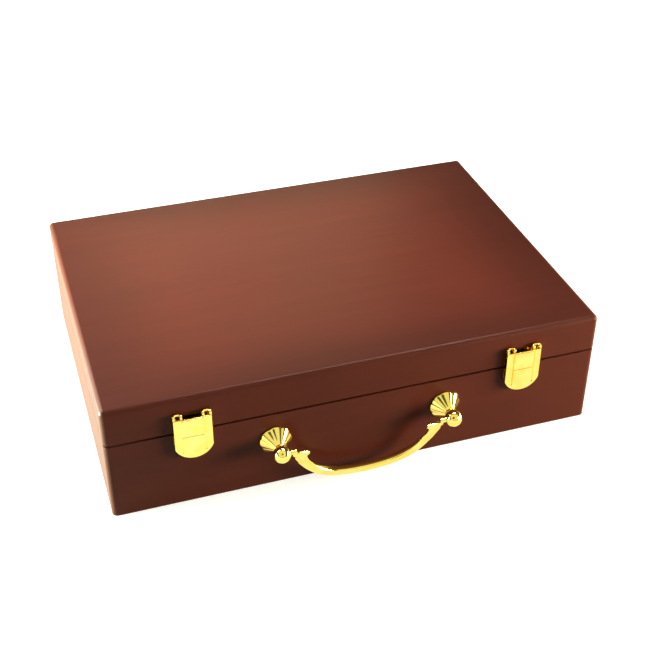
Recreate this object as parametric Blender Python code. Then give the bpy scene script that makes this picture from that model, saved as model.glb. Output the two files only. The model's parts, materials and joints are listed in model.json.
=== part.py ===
"""Poker chip case: a lacquered wooden box with a hinged lid, two flap latches, a bail handle and chip trays.

Metres, +Z up. The origin is the centre of the base's underside. +X runs along the case's width, to the right
as seen from the front. The front, with the latches and the handle, faces -Y.
"""

import math

import bmesh
import bpy
from mathutils import Matrix, Vector

# Overall size, from outside face to outside face.
CASE_WIDTH = 0.305
CASE_DEPTH = 0.218
CASE_HEIGHT = 0.0772
SEAM_HEIGHT = 0.0527
SEAM_GAP = 0.0005

# Wooden shells.
WALL = 0.009
TOP_THICKNESS = 0.0053
BOTTOM_THICKNESS = 0.0042
BOTTOM_REBATE = 0.0040
TOP_ROUNDING = 0.0043
CORNER_ROUNDING = 0.0035
FOOT_ROUNDING = 0.0012
RIM_ROUNDING = 0.0006
INNER_CORNER = 0.0010
LID_CEILING_FILLET = 0.0010

# Clearances between pieces that seat on one another.
SEAT_GAP = 0.00025
PANEL_GAP = 0.0003
RUNNING_GAP = 0.00006

# Chips, cards and the inserts that hold them.
CHIP_DIAMETER = 0.0396
CHIP_CLEARANCE = 0.0010
CHIP_SECTION_LENGTH = 0.0900
THINNEST_RIB = 0.0030
TROUGH_FLOOR = 0.0027
TRAY_HEIGHT = 0.0295
CENTRE_INSERT_WIDTH = 0.0996
CARD_LENGTH = 0.0889
CARD_WIDTH = 0.0635
CARD_CLEARANCE = 0.0025
CARD_WELL_DEPTH = 0.0240
CARD_RIB = 0.0068
DICE_WELL_DEPTH = 0.0200
THUMB_RADIUS = 0.0095
THUMB_DEPTH = 0.0180
TRAY_EDGE_ROUNDING = 0.0007
LINING_THICKNESS = 0.0008
LINER_THICKNESS = 0.0015
LINING_MARGIN = 0.0010

# Rear butt hinges.
HINGE_OFFSET = 0.095
HINGE_WIDTH = 0.040
HINGE_KNUCKLE_RADIUS = 0.0021
HINGE_PIN_RADIUS = 0.00115
HINGE_SPLIT = 0.0068
HINGE_KNUCKLE_GAP = 0.0002
LEAF_THICKNESS = 0.0010
LEAF_INNER_MARGIN = 0.0012
LEAF_RIM_DROP = 0.0001
LEAF_BACK_GAP = 0.0002
HINGE_SCREW_OFFSET = 0.0130
HINGE_SCREW_LENGTH = 0.0070
HINGE_SCREW_SHANK = 0.0009
HINGE_SCREW_HEAD = 0.00185
HINGE_SCREW_SLOT_WIDTH = 0.0005
HINGE_SCREW_CLEARANCE = 0.00012

# Front flap latches. Rises and drops are measured from the seam between lid and base.
LATCH_OFFSET = 0.102
LATCH_HALF_WIDTH = 0.01115
LATCH_TOP_RISE = 0.0116
LATCH_STRAIGHT_DROP = 0.0092
LATCH_BOTTOM_DROP = 0.0169
LATCH_PLATE_THICKNESS = 0.0008
LATCH_PLATE_INSET = 0.00015
LATCH_CATCH_INSET = 0.00075
LATCH_SHOULDER_RISE = 0.0083
LATCH_FLAP_BACK = 0.0030
LATCH_FLAP_THICKNESS = 0.0010
LATCH_PANEL_WIDTH = 0.0129
LATCH_PANEL_MARGIN = 0.0007
LATCH_PANEL_DROP = 0.0112
LATCH_PANEL_RISE = 0.00045
LATCH_GROOVE_DROP = 0.0007
LATCH_GROOVE_WIDTH = 0.0007
LATCH_AXIS_RISE = 0.0130
LATCH_AXIS_OUT = 0.0021
LATCH_EAR_RADIUS = 0.0016
LATCH_EAR_WIDTH = 0.0045
LATCH_CHEEK_RADIUS = 0.0015
LATCH_CHEEK_THICKNESS = 0.0008
LATCH_CHEEK_DROP = 0.0026
LATCH_PIN_RADIUS = 0.0007
LATCH_RIDGE_HALF_WIDTH = 0.0050
LATCH_RIDGE_HEIGHT = 0.0020
LATCH_RIDGE_DROP = 0.0092
LATCH_NAIL_OFFSET = 0.0070
LATCH_NAIL_RISE = 0.0045
LATCH_NAIL_DROP = 0.0042
NAIL_RADIUS = 0.0006
NAIL_HEAD_RADIUS = 0.0013
NAIL_HEAD_HEIGHT = 0.0005
NAIL_LENGTH = 0.0060
NAIL_CLEARANCE = 0.0001

# Handle: two fluted rosettes, two ball posts and a bail that turns in the balls.
POST_OFFSET = 0.0535
POST_HEIGHT = 0.0332
BALL_RADIUS = 0.0053
BALL_OUT = 0.0139
ROSETTE_RADIUS = 0.0098
ROSETTE_NECK_RADIUS = 0.0030
ROSETTE_LIP = 0.0009
ROSETTE_LOBES = 9
ROSETTE_FLUTE = 0.17
ROSETTE_VALLEY_SHARPNESS = 1.4
ROSETTE_BELL = 1.08
STUD_RADIUS = 0.0015
STUD_CLEARANCE = 0.0001
NUT_POCKET_DEPTH = 0.0042
NUT_POCKET_RADIUS = 0.0050
NUT_RADIUS = 0.0032
NUT_THICKNESS = 0.0024
WASHER_RADIUS = 0.0042
WASHER_THICKNESS = 0.0006
BAIL_LEAN = 12.0
BAIL_TABLE_CLEARANCE = 0.0007
BAIL_BOW_THICKNESS = 0.0044
BAIL_BOW_HEIGHT = 0.0050
BAIL_BOW_END_DROP = 0.0100
BAIL_BOW_END_GAP = 0.0066
BAIL_BOW_ROUND_SHARE = 0.42
BAIL_BOW_ROUND_POWER = 2.0
BAIL_BOW_SQUARE_POWER = 4.5
BAIL_BOW_END_SWELL = 0.25
BAIL_BOW_FLAT_START = 0.72
BAIL_BOW_FLAT_SHARE = 0.8
BAIL_BOW_CORNER_SHARE = 0.26
BAIL_SWEEP_START = 0.66
BAIL_SWEEP_END = 0.96
BAIL_SWEEP_SHARE = 0.47
BAIL_PLATE_THICKNESS = 0.0018
BAIL_SHOULDER_GAP = 0.0012
BAIL_SHOULDER_WIDTH = 0.0103
BAIL_SHOULDER_TOP = 0.0010
BAIL_SHOULDER_SLOPE = 0.0008
BAIL_CROSSBAR_DEPTH = 0.0026
BAIL_NECK_INSET = 0.0014
BAIL_KNUCKLE_RADIUS = 0.0015
BAIL_KNUCKLE_LENGTH = 0.0036
BAIL_PIN_RADIUS = 0.0012
BAIL_PIN_BITE = 0.0036
BAIL_BORE_SLACK = 0.0004
BAIL_KNUCKLE_GAP = 0.00005

# How finely curves are cut into flats.
ARC_STEPS = 6
CORNER_STEPS = 6
ROUND_STEPS = 24
BALL_STEPS = 18
SMALL_STEPS = 12
BAIL_STEPS = 30
SWEEP_STEPS = 8
RIM_STEPS = 3
NAIL_HEAD_STEPS = 4
FLUTE_STEPS = 6
BELL_STEPS = 6
SLOPE_STEP = 0.005

# Edges whose faces meet at more than this many degrees stay sharp.
WOOD_SMOOTHING = 35.0
METAL_SMOOTHING = 30.0
CAST_SMOOTHING = 40.0

SIDES = (("left", -1), ("right", 1))
FRONT = -CASE_DEPTH / 2
BACK = CASE_DEPTH / 2
BASE_RIM = SEAM_HEIGHT - SEAM_GAP / 2
LID_RIM = SEAM_HEIGHT + SEAM_GAP / 2
INNER_HALF_X = CASE_WIDTH / 2 - WALL
INNER_HALF_Y = CASE_DEPTH / 2 - WALL
CEILING = CASE_HEIGHT - TOP_THICKNESS
HINGE_AXIS_Y = BACK + HINGE_KNUCKLE_RADIUS + LEAF_BACK_GAP
LID_AXIS = Vector((0.0, HINGE_AXIS_Y, SEAM_HEIGHT))
LATCH_AXIS_Y = FRONT - LATCH_AXIS_OUT
LATCH_AXIS_HEIGHT = SEAM_HEIGHT + LATCH_AXIS_RISE
LATCH_TOP = SEAM_HEIGHT + LATCH_TOP_RISE
LATCH_STRAIGHT_END = SEAM_HEIGHT - LATCH_STRAIGHT_DROP
LATCH_BOTTOM = SEAM_HEIGHT - LATCH_BOTTOM_DROP
LATCH_SHOULDER = SEAM_HEIGHT + LATCH_SHOULDER_RISE
BAIL_AXIS = Vector((0.0, FRONT - BALL_OUT, POST_HEIGHT))
BAIL_REACH = POST_HEIGHT - BAIL_BOW_HEIGHT / 2 - BAIL_TABLE_CLEARANCE
SHOULDER_OUTER = POST_OFFSET - BALL_RADIUS - BAIL_SHOULDER_GAP
SHOULDER_INNER = SHOULDER_OUTER - BAIL_SHOULDER_WIDTH
BAIL_BOW_END = SHOULDER_OUTER - BAIL_BOW_END_GAP
KNUCKLE_GAP = RUNNING_GAP + BAIL_KNUCKLE_GAP
KNUCKLE_END = POST_OFFSET - math.sqrt(BALL_RADIUS**2 - BAIL_KNUCKLE_RADIUS**2) - KNUCKLE_GAP

FINISHES = {
    "mahogany": ((0.150, 0.030, 0.014), 0.22, 0.0),
    "bottom_board": ((0.120, 0.035, 0.018), 0.45, 0.0),
    "gold": ((0.95, 0.66, 0.20), 0.12, 1.0),
    "steel": ((0.55, 0.55, 0.53), 0.35, 1.0),
    "green_velvet": ((0.015, 0.085, 0.045), 0.95, 0.0),
    "flocked_tray": ((0.018, 0.070, 0.040), 0.92, 0.0),
}


def clear_scene():
    """Removes what the start-up file holds."""
    for obj in list(bpy.data.objects):
        bpy.data.objects.remove(obj, do_unlink=True)


def finish_material(name, finish):
    """Returns a Principled material for one piece."""
    colour, roughness, metallic = FINISHES[finish]
    material = bpy.data.materials.new(name)
    material.use_nodes = True
    shader = material.node_tree.nodes["Principled BSDF"]
    shader.inputs["Base Color"].default_value = (*colour, 1.0)
    shader.inputs["Roughness"].default_value = roughness
    shader.inputs["Metallic"].default_value = metallic
    return material


def add_empty(name, location):
    """Adds an empty that marks a joint's axis."""
    empty = bpy.data.objects.new(name, None)
    empty.empty_display_size = 0.01
    empty.location = location
    bpy.context.collection.objects.link(empty)
    return empty


def add_piece(name, bm, finish, anchor=(0.0, 0.0, 0.0), parent=None, smooth_angle=None):
    """Makes a named object of a mesh drawn in world coordinates, with its own origin at the anchor."""
    anchor = Vector(anchor)
    bmesh.ops.remove_doubles(bm, verts=bm.verts[:], dist=1e-7)
    bmesh.ops.recalc_face_normals(bm, faces=bm.faces[:])
    bmesh.ops.translate(bm, verts=bm.verts[:], vec=-anchor)
    mesh = bpy.data.meshes.new(name)
    bm.to_mesh(mesh)
    bm.free()
    if smooth_angle is not None:
        mesh.shade_smooth()
        mesh.set_sharp_from_angle(angle=math.radians(smooth_angle))
    obj = bpy.data.objects.new(name, mesh)
    obj.data.materials.append(finish_material(name, finish))
    bpy.context.collection.objects.link(obj)
    obj.location = anchor
    if parent is not None:
        obj.parent = parent
        obj.location = anchor - parent.location
    return obj


def apply_boolean(obj, tool_bm, operation):
    """Joins or cuts a tool mesh, drawn in world coordinates, into an object."""
    bmesh.ops.recalc_face_normals(tool_bm, faces=tool_bm.faces[:])
    tool_mesh = bpy.data.meshes.new("tool")
    tool_bm.to_mesh(tool_mesh)
    tool_bm.free()
    tool = bpy.data.objects.new("tool", tool_mesh)
    bpy.context.collection.objects.link(tool)
    modifier = obj.modifiers.new("Boolean", "BOOLEAN")
    modifier.operation = operation
    modifier.solver = "EXACT"
    modifier.use_self = True
    modifier.object = tool
    bpy.context.view_layer.update()
    graph = bpy.context.evaluated_depsgraph_get()
    result = bpy.data.meshes.new_from_object(obj.evaluated_get(graph))
    obj.modifiers.clear()
    old = obj.data
    obj.data = result
    result.name = obj.name
    bpy.data.meshes.remove(old)
    bpy.data.objects.remove(tool, do_unlink=True)


def smooth(obj, angle):
    """Shades an object smooth up to an angle between faces, in degrees."""
    obj.data.shade_smooth()
    obj.data.set_sharp_from_angle(angle=math.radians(angle))


def add_box(bm, low, high):
    """Adds a box between two corners and returns its vertices."""
    low = Vector(low)
    high = Vector(high)
    size = high - low
    place = Matrix.Translation((low + high) / 2) @ Matrix.Diagonal((*size, 1.0))
    return bmesh.ops.create_cube(bm, size=1.0, matrix=place)["verts"]


def add_rounded_box(bm, low, high, rounding, segments=2):
    """Adds a box with all its edges rounded."""
    verts = add_box(bm, low, high)
    edges = set()
    for vert in verts:
        edges.update(vert.link_edges)
    bmesh.ops.bevel(
        bm,
        geom=list(edges),
        offset=rounding,
        segments=segments,
        profile=0.5,
        affect="EDGES",
        clamp_overlap=True,
    )


def axis_matrix(axis):
    """Returns the rotation that takes +Z to the named axis."""
    if axis == "X":
        return Matrix.Rotation(math.pi / 2, 4, "Y")
    if axis == "Y":
        return Matrix.Rotation(-math.pi / 2, 4, "X")
    return Matrix.Identity(4)


def add_cylinder(bm, centre, radius, start, end, axis, steps=ROUND_STEPS):
    """Adds a cylinder along an axis. Start and end are distances from the centre along that axis."""
    middle = Matrix.Translation((0.0, 0.0, (start + end) / 2))
    place = Matrix.Translation(Vector(centre)) @ axis_matrix(axis) @ middle
    bmesh.ops.create_cone(
        bm,
        cap_ends=True,
        cap_tris=False,
        segments=steps,
        radius1=radius,
        radius2=radius,
        depth=end - start,
        matrix=place,
    )


def add_lathe(bm, profile, centre, axis, steps=ROUND_STEPS, closed=False):
    """Turns a profile of (radius, distance along the axis) pairs. A closed profile makes a ring."""
    place = Matrix.Translation(Vector(centre)) @ axis_matrix(axis)
    rings = []
    for radius, along in profile:
        if radius == 0.0:
            rings.append([bm.verts.new(place @ Vector((0.0, 0.0, along)))])
            continue
        ring = []
        for step in range(steps):
            angle = 2.0 * math.pi * step / steps
            point = Vector((radius * math.cos(angle), radius * math.sin(angle), along))
            ring.append(bm.verts.new(place @ point))
        rings.append(ring)
    pairs = list(zip(rings, rings[1:]))
    if closed:
        pairs.append((rings[-1], rings[0]))
    for first, second in pairs:
        join_rings(bm, first, second)
    if not closed:
        for ring in (rings[0], rings[-1]):
            if len(ring) > 2:
                bm.faces.new(ring)


def join_rings(bm, first, second):
    """Fills the strip between two rings. Either of them may be a single point."""
    count = max(len(first), len(second))
    for step in range(count):
        following = (step + 1) % count
        if len(first) == 1:
            bm.faces.new((first[0], second[following], second[step]))
        elif len(second) == 1:
            bm.faces.new((first[step], first[following], second[0]))
        else:
            bm.faces.new((first[step], first[following], second[following], second[step]))


def rounded_rectangle(half_x, half_y, radius, steps=CORNER_STEPS):
    """Returns the outline of a rectangle with round corners, as (x, y) pairs."""
    points = []
    for quarter, (sign_x, sign_y) in enumerate(((1, 1), (-1, 1), (-1, -1), (1, -1))):
        centre_x = sign_x * (half_x - radius)
        centre_y = sign_y * (half_y - radius)
        for step in range(steps + 1):
            angle = math.pi / 2 * (quarter + step / steps)
            points.append((centre_x + radius * math.cos(angle), centre_y + radius * math.sin(angle)))
    return points


def add_shell(bm, profile, half_x, half_y, corner, closed):
    """Carries a profile of (inset, height) pairs round a rectangle with round corners."""
    rings = []
    for inset, height in profile:
        radius = max(corner - inset, INNER_CORNER)
        outline = rounded_rectangle(half_x - inset, half_y - inset, radius)
        rings.append([bm.verts.new((x, y, height)) for x, y in outline])
    for first, second in zip(rings, rings[1:]):
        join_rings(bm, first, second)
    if closed:
        join_rings(bm, rings[-1], rings[0])
        return
    bm.faces.new(rings[0])
    bm.faces.new(rings[-1])


def arc(centre, radius, start, end, steps=ARC_STEPS):
    """Returns points of an arc between two angles in degrees."""
    points = []
    for step in range(steps + 1):
        angle = math.radians(start + (end - start) * step / steps)
        points.append((centre[0] + radius * math.cos(angle), centre[1] + radius * math.sin(angle)))
    return points


def full_circle(centre, radius):
    """Returns evenly spaced points all round a circle."""
    last = 360.0 - 360.0 / ROUND_STEPS
    return arc(centre, radius, 0.0, last, ROUND_STEPS - 1)


def add_prism(bm, outline, place, thickness):
    """Extrudes a flat outline, drawn in its own x and y, along its own z by the thickness."""
    near = [bm.verts.new(place @ Vector((x, y, 0.0))) for x, y in outline]
    far = [bm.verts.new(place @ Vector((x, y, thickness))) for x, y in outline]
    bm.faces.new(near)
    bm.faces.new(far)
    join_rings(bm, near, far)
    return near, far


def add_hull(bm, points):
    """Adds the smallest bulging solid round a set of points."""
    verts = [bm.verts.new(point) for point in points]
    result = bmesh.ops.convex_hull(bm, input=verts)
    spare = [item for item in result["geom_interior"] if isinstance(item, bmesh.types.BMVert)]
    bmesh.ops.delete(bm, geom=spare, context="VERTS")


def front_plane(out):
    """Returns the placement of an outline in (x, z) that stands off the front by a distance."""
    return Matrix.Translation((0.0, FRONT - out, 0.0)) @ Matrix.Rotation(math.pi / 2, 4, "X")


# Wooden shells and their linings.


def build_base_shell():
    """The four base walls, glued and lacquered as one frame, with a rebate for the bottom board."""
    rim_arc = arc((RIM_ROUNDING, BASE_RIM - RIM_ROUNDING), RIM_ROUNDING, 90.0, 180.0, RIM_STEPS)
    foot_arc = arc((FOOT_ROUNDING, FOOT_ROUNDING), FOOT_ROUNDING, 180.0, 270.0, RIM_STEPS)
    ledge = BOTTOM_THICKNESS + PANEL_GAP
    inner = [
        (WALL - BOTTOM_REBATE, 0.0),
        (WALL - BOTTOM_REBATE, ledge),
        (WALL, ledge),
        (WALL, BASE_RIM - RIM_ROUNDING),
        (WALL - RIM_ROUNDING, BASE_RIM),
    ]
    bm = bmesh.new()
    add_shell(bm, rim_arc + foot_arc + inner, CASE_WIDTH / 2, CASE_DEPTH / 2, CORNER_ROUNDING, True)
    shell = add_piece("base_shell", bm, "mahogany")
    cuts = bmesh.new()
    for _, hinge_side in SIDES:
        add_hinge_mortise(cuts, hinge_side * HINGE_OFFSET, -1)
    for _, latch_side in SIDES:
        for nail_side in (-1, 1):
            nail_x = latch_side * LATCH_OFFSET + nail_side * LATCH_NAIL_OFFSET
            add_nail_hole(cuts, nail_x, SEAM_HEIGHT - LATCH_NAIL_DROP)
    for _, post_side in SIDES:
        post = (post_side * POST_OFFSET, FRONT, POST_HEIGHT)
        add_cylinder(cuts, post, STUD_RADIUS + STUD_CLEARANCE, -WALL / 2, WALL * 1.5, "Y", SMALL_STEPS)
        add_cylinder(cuts, post, NUT_POCKET_RADIUS, WALL - NUT_POCKET_DEPTH, WALL * 1.5, "Y")
    apply_boolean(shell, cuts, "DIFFERENCE")
    smooth(shell, WOOD_SMOOTHING)
    return shell


def add_hinge_mortise(bm, hinge_x, side):
    """Adds the recess for a hinge leaf and its screw holes. Side is 1 for the lid and -1 for the base."""
    rim = SEAM_HEIGHT + side * SEAM_GAP / 2
    deep = rim + side * (LEAF_THICKNESS + LEAF_RIM_DROP + LEAF_BACK_GAP)
    shallow = rim - side * SEAM_GAP
    inner = BACK - WALL + LEAF_INNER_MARGIN - LEAF_BACK_GAP
    half = HINGE_WIDTH / 2 + LEAF_BACK_GAP
    low = (hinge_x - half, inner, min(deep, shallow))
    high = (hinge_x + half, BACK + WALL, max(deep, shallow))
    add_box(bm, low, high)
    for screw_side in (-1, 1):
        centre = (hinge_x + screw_side * HINGE_SCREW_OFFSET, screw_y(), rim)
        ends = sorted((side * LEAF_THICKNESS, side * (HINGE_SCREW_LENGTH + LEAF_THICKNESS)))
        bore = HINGE_SCREW_SHANK + HINGE_SCREW_CLEARANCE
        add_cylinder(bm, centre, bore, ends[0], ends[1], "Z", SMALL_STEPS)


def add_nail_hole(bm, nail_x, height):
    """Adds the hole that a latch nail is driven into."""
    centre = (nail_x, FRONT, height)
    add_cylinder(bm, centre, NAIL_RADIUS + NAIL_CLEARANCE, -WALL / 4, NAIL_LENGTH, "Y", SMALL_STEPS)


def build_base_bottom():
    """The board let into the rebate under the base walls, flush with their lower edge."""
    inset = WALL - BOTTOM_REBATE + PANEL_GAP
    bm = bmesh.new()
    profile = [(inset, 0.0), (inset, BOTTOM_THICKNESS)]
    add_shell(bm, profile, CASE_WIDTH / 2, CASE_DEPTH / 2, CORNER_ROUNDING, False)
    return add_piece("base_bottom", bm, "bottom_board")


def build_lid_shell(parent):
    """The lid's walls and top, glued and lacquered as one shell with rounded upper edges."""
    top_arc = arc((TOP_ROUNDING, CASE_HEIGHT - TOP_ROUNDING), TOP_ROUNDING, 90.0, 180.0)
    rim_arc = arc((RIM_ROUNDING, LID_RIM + RIM_ROUNDING), RIM_ROUNDING, 180.0, 270.0, RIM_STEPS)
    inner = [
        (WALL - RIM_ROUNDING, LID_RIM),
        (WALL, LID_RIM + RIM_ROUNDING),
        (WALL, CEILING - LID_CEILING_FILLET),
        (WALL + LID_CEILING_FILLET, CEILING),
    ]
    bm = bmesh.new()
    add_shell(bm, top_arc + rim_arc + inner, CASE_WIDTH / 2, CASE_DEPTH / 2, CORNER_ROUNDING, False)
    shell = add_piece("lid_shell", bm, "mahogany", LID_AXIS, parent)
    cuts = bmesh.new()
    for _, hinge_side in SIDES:
        add_hinge_mortise(cuts, hinge_side * HINGE_OFFSET, 1)
    for _, latch_side in SIDES:
        for nail_side in (-1, 1):
            nail_x = latch_side * LATCH_OFFSET + nail_side * LATCH_NAIL_OFFSET
            add_nail_hole(cuts, nail_x, SEAM_HEIGHT + LATCH_NAIL_RISE)
    apply_boolean(shell, cuts, "DIFFERENCE")
    smooth(shell, WOOD_SMOOTHING)
    return shell


def build_lining(name, low, high, anchor, parent):
    """A thin band of velvet glued round the inside of the walls."""
    outer = WALL + SEAT_GAP
    inner = outer + LINING_THICKNESS
    profile = [(outer, low), (inner, low), (inner, high), (outer, high)]
    bm = bmesh.new()
    add_shell(bm, profile, CASE_WIDTH / 2, CASE_DEPTH / 2, CORNER_ROUNDING, True)
    return add_piece(name, bm, "green_velvet", anchor, parent)


def build_lid_liner(parent):
    """A thin velvet pad glued to the lid's ceiling."""
    high = CEILING - SEAT_GAP
    low = high - LINER_THICKNESS
    edge = LINER_THICKNESS / 3
    inset = WALL + LID_CEILING_FILLET + SEAT_GAP
    profile = [(inset + edge, low), (inset, low + edge), (inset, high)]
    bm = bmesh.new()
    add_shell(bm, profile, CASE_WIDTH / 2, CASE_DEPTH / 2, CORNER_ROUNDING, False)
    return add_piece("lid_liner", bm, "green_velvet", LID_AXIS, parent)


# Chip trays and the centre insert.


def tray_floor():
    """Height of the inserts' undersides."""
    return BOTTOM_THICKNESS + PANEL_GAP


def insert_half_length():
    """Half the length of each insert, front to back."""
    return INNER_HALF_Y - PANEL_GAP


def spread(room, size):
    """Returns how many hollows of one size fit side by side, and the equal ribs between and beside them."""
    count = max(1, int((room - THINNEST_RIB) / (size + THINNEST_RIB)))
    return count, (room - count * size) / (count + 1)


def build_chip_tray(name, side):
    """A block with U-shaped troughs side by side, each parted into sections of one stack."""
    inner = CENTRE_INSERT_WIDTH / 2 + PANEL_GAP
    outer = INNER_HALF_X - PANEL_GAP
    low_x = min(side * inner, side * outer)
    high_x = max(side * inner, side * outer)
    half_y = insert_half_length()
    floor = tray_floor()
    top = floor + TRAY_HEIGHT
    bm = bmesh.new()
    add_rounded_box(bm, (low_x, -half_y, floor), (high_x, half_y, top), TRAY_EDGE_ROUNDING)
    tray = add_piece(name, bm, "flocked_tray", ((low_x + high_x) / 2, 0.0, floor))
    radius = CHIP_DIAMETER / 2 + CHIP_CLEARANCE / 2
    troughs, rib_x = spread(high_x - low_x, 2 * radius)
    sections, rib_y = spread(2 * half_y, CHIP_SECTION_LENGTH)
    axis_z = floor + TROUGH_FLOOR + radius
    cuts = bmesh.new()
    for trough in range(troughs):
        x = low_x + rib_x + radius + trough * (2 * radius + rib_x)
        outline = arc((x, axis_z), radius, 180.0, 360.0, ROUND_STEPS // 2)
        outline += [(x + radius, top + radius), (x - radius, top + radius)]
        for section in range(sections):
            end = -half_y + (section + 1) * (CHIP_SECTION_LENGTH + rib_y)
            place = Matrix.Translation((0.0, end, 0.0)) @ Matrix.Rotation(math.pi / 2, 4, "X")
            add_prism(cuts, outline, place, CHIP_SECTION_LENGTH)
    apply_boolean(tray, cuts, "DIFFERENCE")
    smooth(tray, WOOD_SMOOTHING)
    return tray


def build_centre_insert():
    """A block with a card well at each end, a dice well between them and thumb channels through the ribs."""
    half_x = CENTRE_INSERT_WIDTH / 2
    half_y = insert_half_length()
    floor = tray_floor()
    top = floor + TRAY_HEIGHT
    bm = bmesh.new()
    add_rounded_box(bm, (-half_x, -half_y, floor), (half_x, half_y, top), TRAY_EDGE_ROUNDING)
    insert = add_piece("centre_insert", bm, "flocked_tray", (0.0, 0.0, floor))
    well_x = CARD_LENGTH / 2 + CARD_CLEARANCE / 2
    well_y = CARD_WIDTH + CARD_CLEARANCE
    dice_length = 2 * half_y - 2 * well_y - 4 * CARD_RIB
    above = top + THUMB_RADIUS
    cuts = bmesh.new()
    for side in (-1, 1):
        near = side * (dice_length / 2 + CARD_RIB)
        far = near + side * well_y
        add_box(cuts, (-well_x, min(near, far), top - CARD_WELL_DEPTH), (well_x, max(near, far), above))
    apply_boolean(insert, cuts, "DIFFERENCE")
    cuts = bmesh.new()
    add_box(cuts, (-well_x, -dice_length / 2, top - DICE_WELL_DEPTH), (well_x, dice_length / 2, above))
    apply_boolean(insert, cuts, "DIFFERENCE")
    cuts = bmesh.new()
    reach = dice_length / 2 + CARD_RIB + THUMB_RADIUS
    outline = arc((0.0, top - THUMB_DEPTH + THUMB_RADIUS), THUMB_RADIUS, 180.0, 360.0, ROUND_STEPS // 2)
    outline += [(THUMB_RADIUS, above), (-THUMB_RADIUS, above)]
    place = Matrix.Translation((0.0, reach, 0.0)) @ Matrix.Rotation(math.pi / 2, 4, "X")
    add_prism(cuts, outline, place, 2 * reach)
    apply_boolean(insert, cuts, "DIFFERENCE")
    smooth(insert, WOOD_SMOOTHING)
    return insert


# Rear hinges.


def screw_y():
    """Distance of the hinge screws from the case's middle: half-way across the wall."""
    return BACK - WALL / 2


def leaf_heights(side):
    """Returns the lower and upper faces of a hinge leaf. Side is 1 for the lid and -1 for the base."""
    near = SEAM_HEIGHT + side * (SEAM_GAP / 2 + LEAF_RIM_DROP)
    far = near + side * LEAF_THICKNESS
    return min(near, far), max(near, far)


def build_hinge_leaf(name, hinge_x, side, parent):
    """A leaf with its knuckles: two outer ones on the base leaf, one middle one on the lid leaf."""
    low, high = leaf_heights(side)
    half = HINGE_WIDTH / 2
    inner = BACK - WALL + LEAF_INNER_MARGIN
    stop = HINGE_AXIS_Y - HINGE_KNUCKLE_RADIUS - LEAF_BACK_GAP
    if side < 0:
        spans = ((-half, -HINGE_SPLIT - HINGE_KNUCKLE_GAP), (HINGE_SPLIT + HINGE_KNUCKLE_GAP, half))
    else:
        spans = ((-HINGE_SPLIT, HINGE_SPLIT),)
    bm = bmesh.new()
    add_box(bm, (hinge_x - half, inner, low), (hinge_x + half, stop, high))
    leaf = add_piece(name, bm, "gold", (hinge_x, HINGE_AXIS_Y, SEAM_HEIGHT), parent)
    for start, end in spans:
        tool = bmesh.new()
        outline = knuckle_outline(stop - LEAF_THICKNESS, low, high, side)
        place = Matrix.Translation((hinge_x + start, 0.0, 0.0)) @ yz_plane()
        add_prism(tool, outline, place, end - start)
        apply_boolean(leaf, tool, "UNION")
    cuts = bmesh.new()
    axis = (hinge_x, HINGE_AXIS_Y, SEAM_HEIGHT)
    add_cylinder(cuts, axis, HINGE_PIN_RADIUS + RUNNING_GAP, -HINGE_WIDTH, HINGE_WIDTH, "X")
    for screw_side in (-1, 1):
        centre = (hinge_x + screw_side * HINGE_SCREW_OFFSET, screw_y(), SEAM_HEIGHT)
        add_lathe(cuts, countersink_profile(side), centre, "Z", SMALL_STEPS)
    apply_boolean(leaf, cuts, "DIFFERENCE")
    smooth(leaf, METAL_SMOOTHING)
    return leaf


def yz_plane():
    """Returns the placement that draws an outline in (y, z) and extrudes it along +X."""
    return Matrix(((0.0, 0.0, 1.0, 0.0), (1.0, 0.0, 0.0, 0.0), (0.0, 1.0, 0.0, 0.0), (0.0, 0.0, 0.0, 1.0)))


def knuckle_outline(leaf_y, low, high, side):
    """Returns the outline of a knuckle with the tongue that joins it to the leaf."""
    reach = HINGE_KNUCKLE_RADIUS
    near_offset = abs((low if side > 0 else high) - SEAM_HEIGHT)
    far_offset = abs((high if side > 0 else low) - SEAM_HEIGHT)
    near_angle = math.degrees(math.asin(near_offset / reach))
    far_angle = math.degrees(math.asin(far_offset / reach))
    start = 180.0 - side * near_angle
    end = 180.0 - side * far_angle + side * 360.0
    outline = arc((HINGE_AXIS_Y, SEAM_HEIGHT), reach, start, end, ROUND_STEPS)
    outline.append((leaf_y, SEAM_HEIGHT + side * far_offset))
    outline.append((leaf_y, SEAM_HEIGHT + side * near_offset))
    return outline


def screw_heights(side):
    """Returns the heights, from the seam, of a hinge screw's flat head, of the cone's end and of its tip."""
    face = side * (SEAM_GAP / 2 + LEAF_RIM_DROP)
    cone_end = face + side * (HINGE_SCREW_HEAD - HINGE_SCREW_SHANK)
    tip = face + side * HINGE_SCREW_LENGTH
    return face, cone_end, tip


def countersink_profile(side):
    """Returns the profile of the countersunk hole in a leaf."""
    face, cone_end, _ = screw_heights(side)
    slack = HINGE_SCREW_CLEARANCE
    start = face - side * slack
    return [
        (HINGE_SCREW_HEAD + 2 * slack, start),
        (HINGE_SCREW_SHANK + slack, cone_end),
        (HINGE_SCREW_SHANK + slack, face + side * 3 * LEAF_THICKNESS),
    ]


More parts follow.
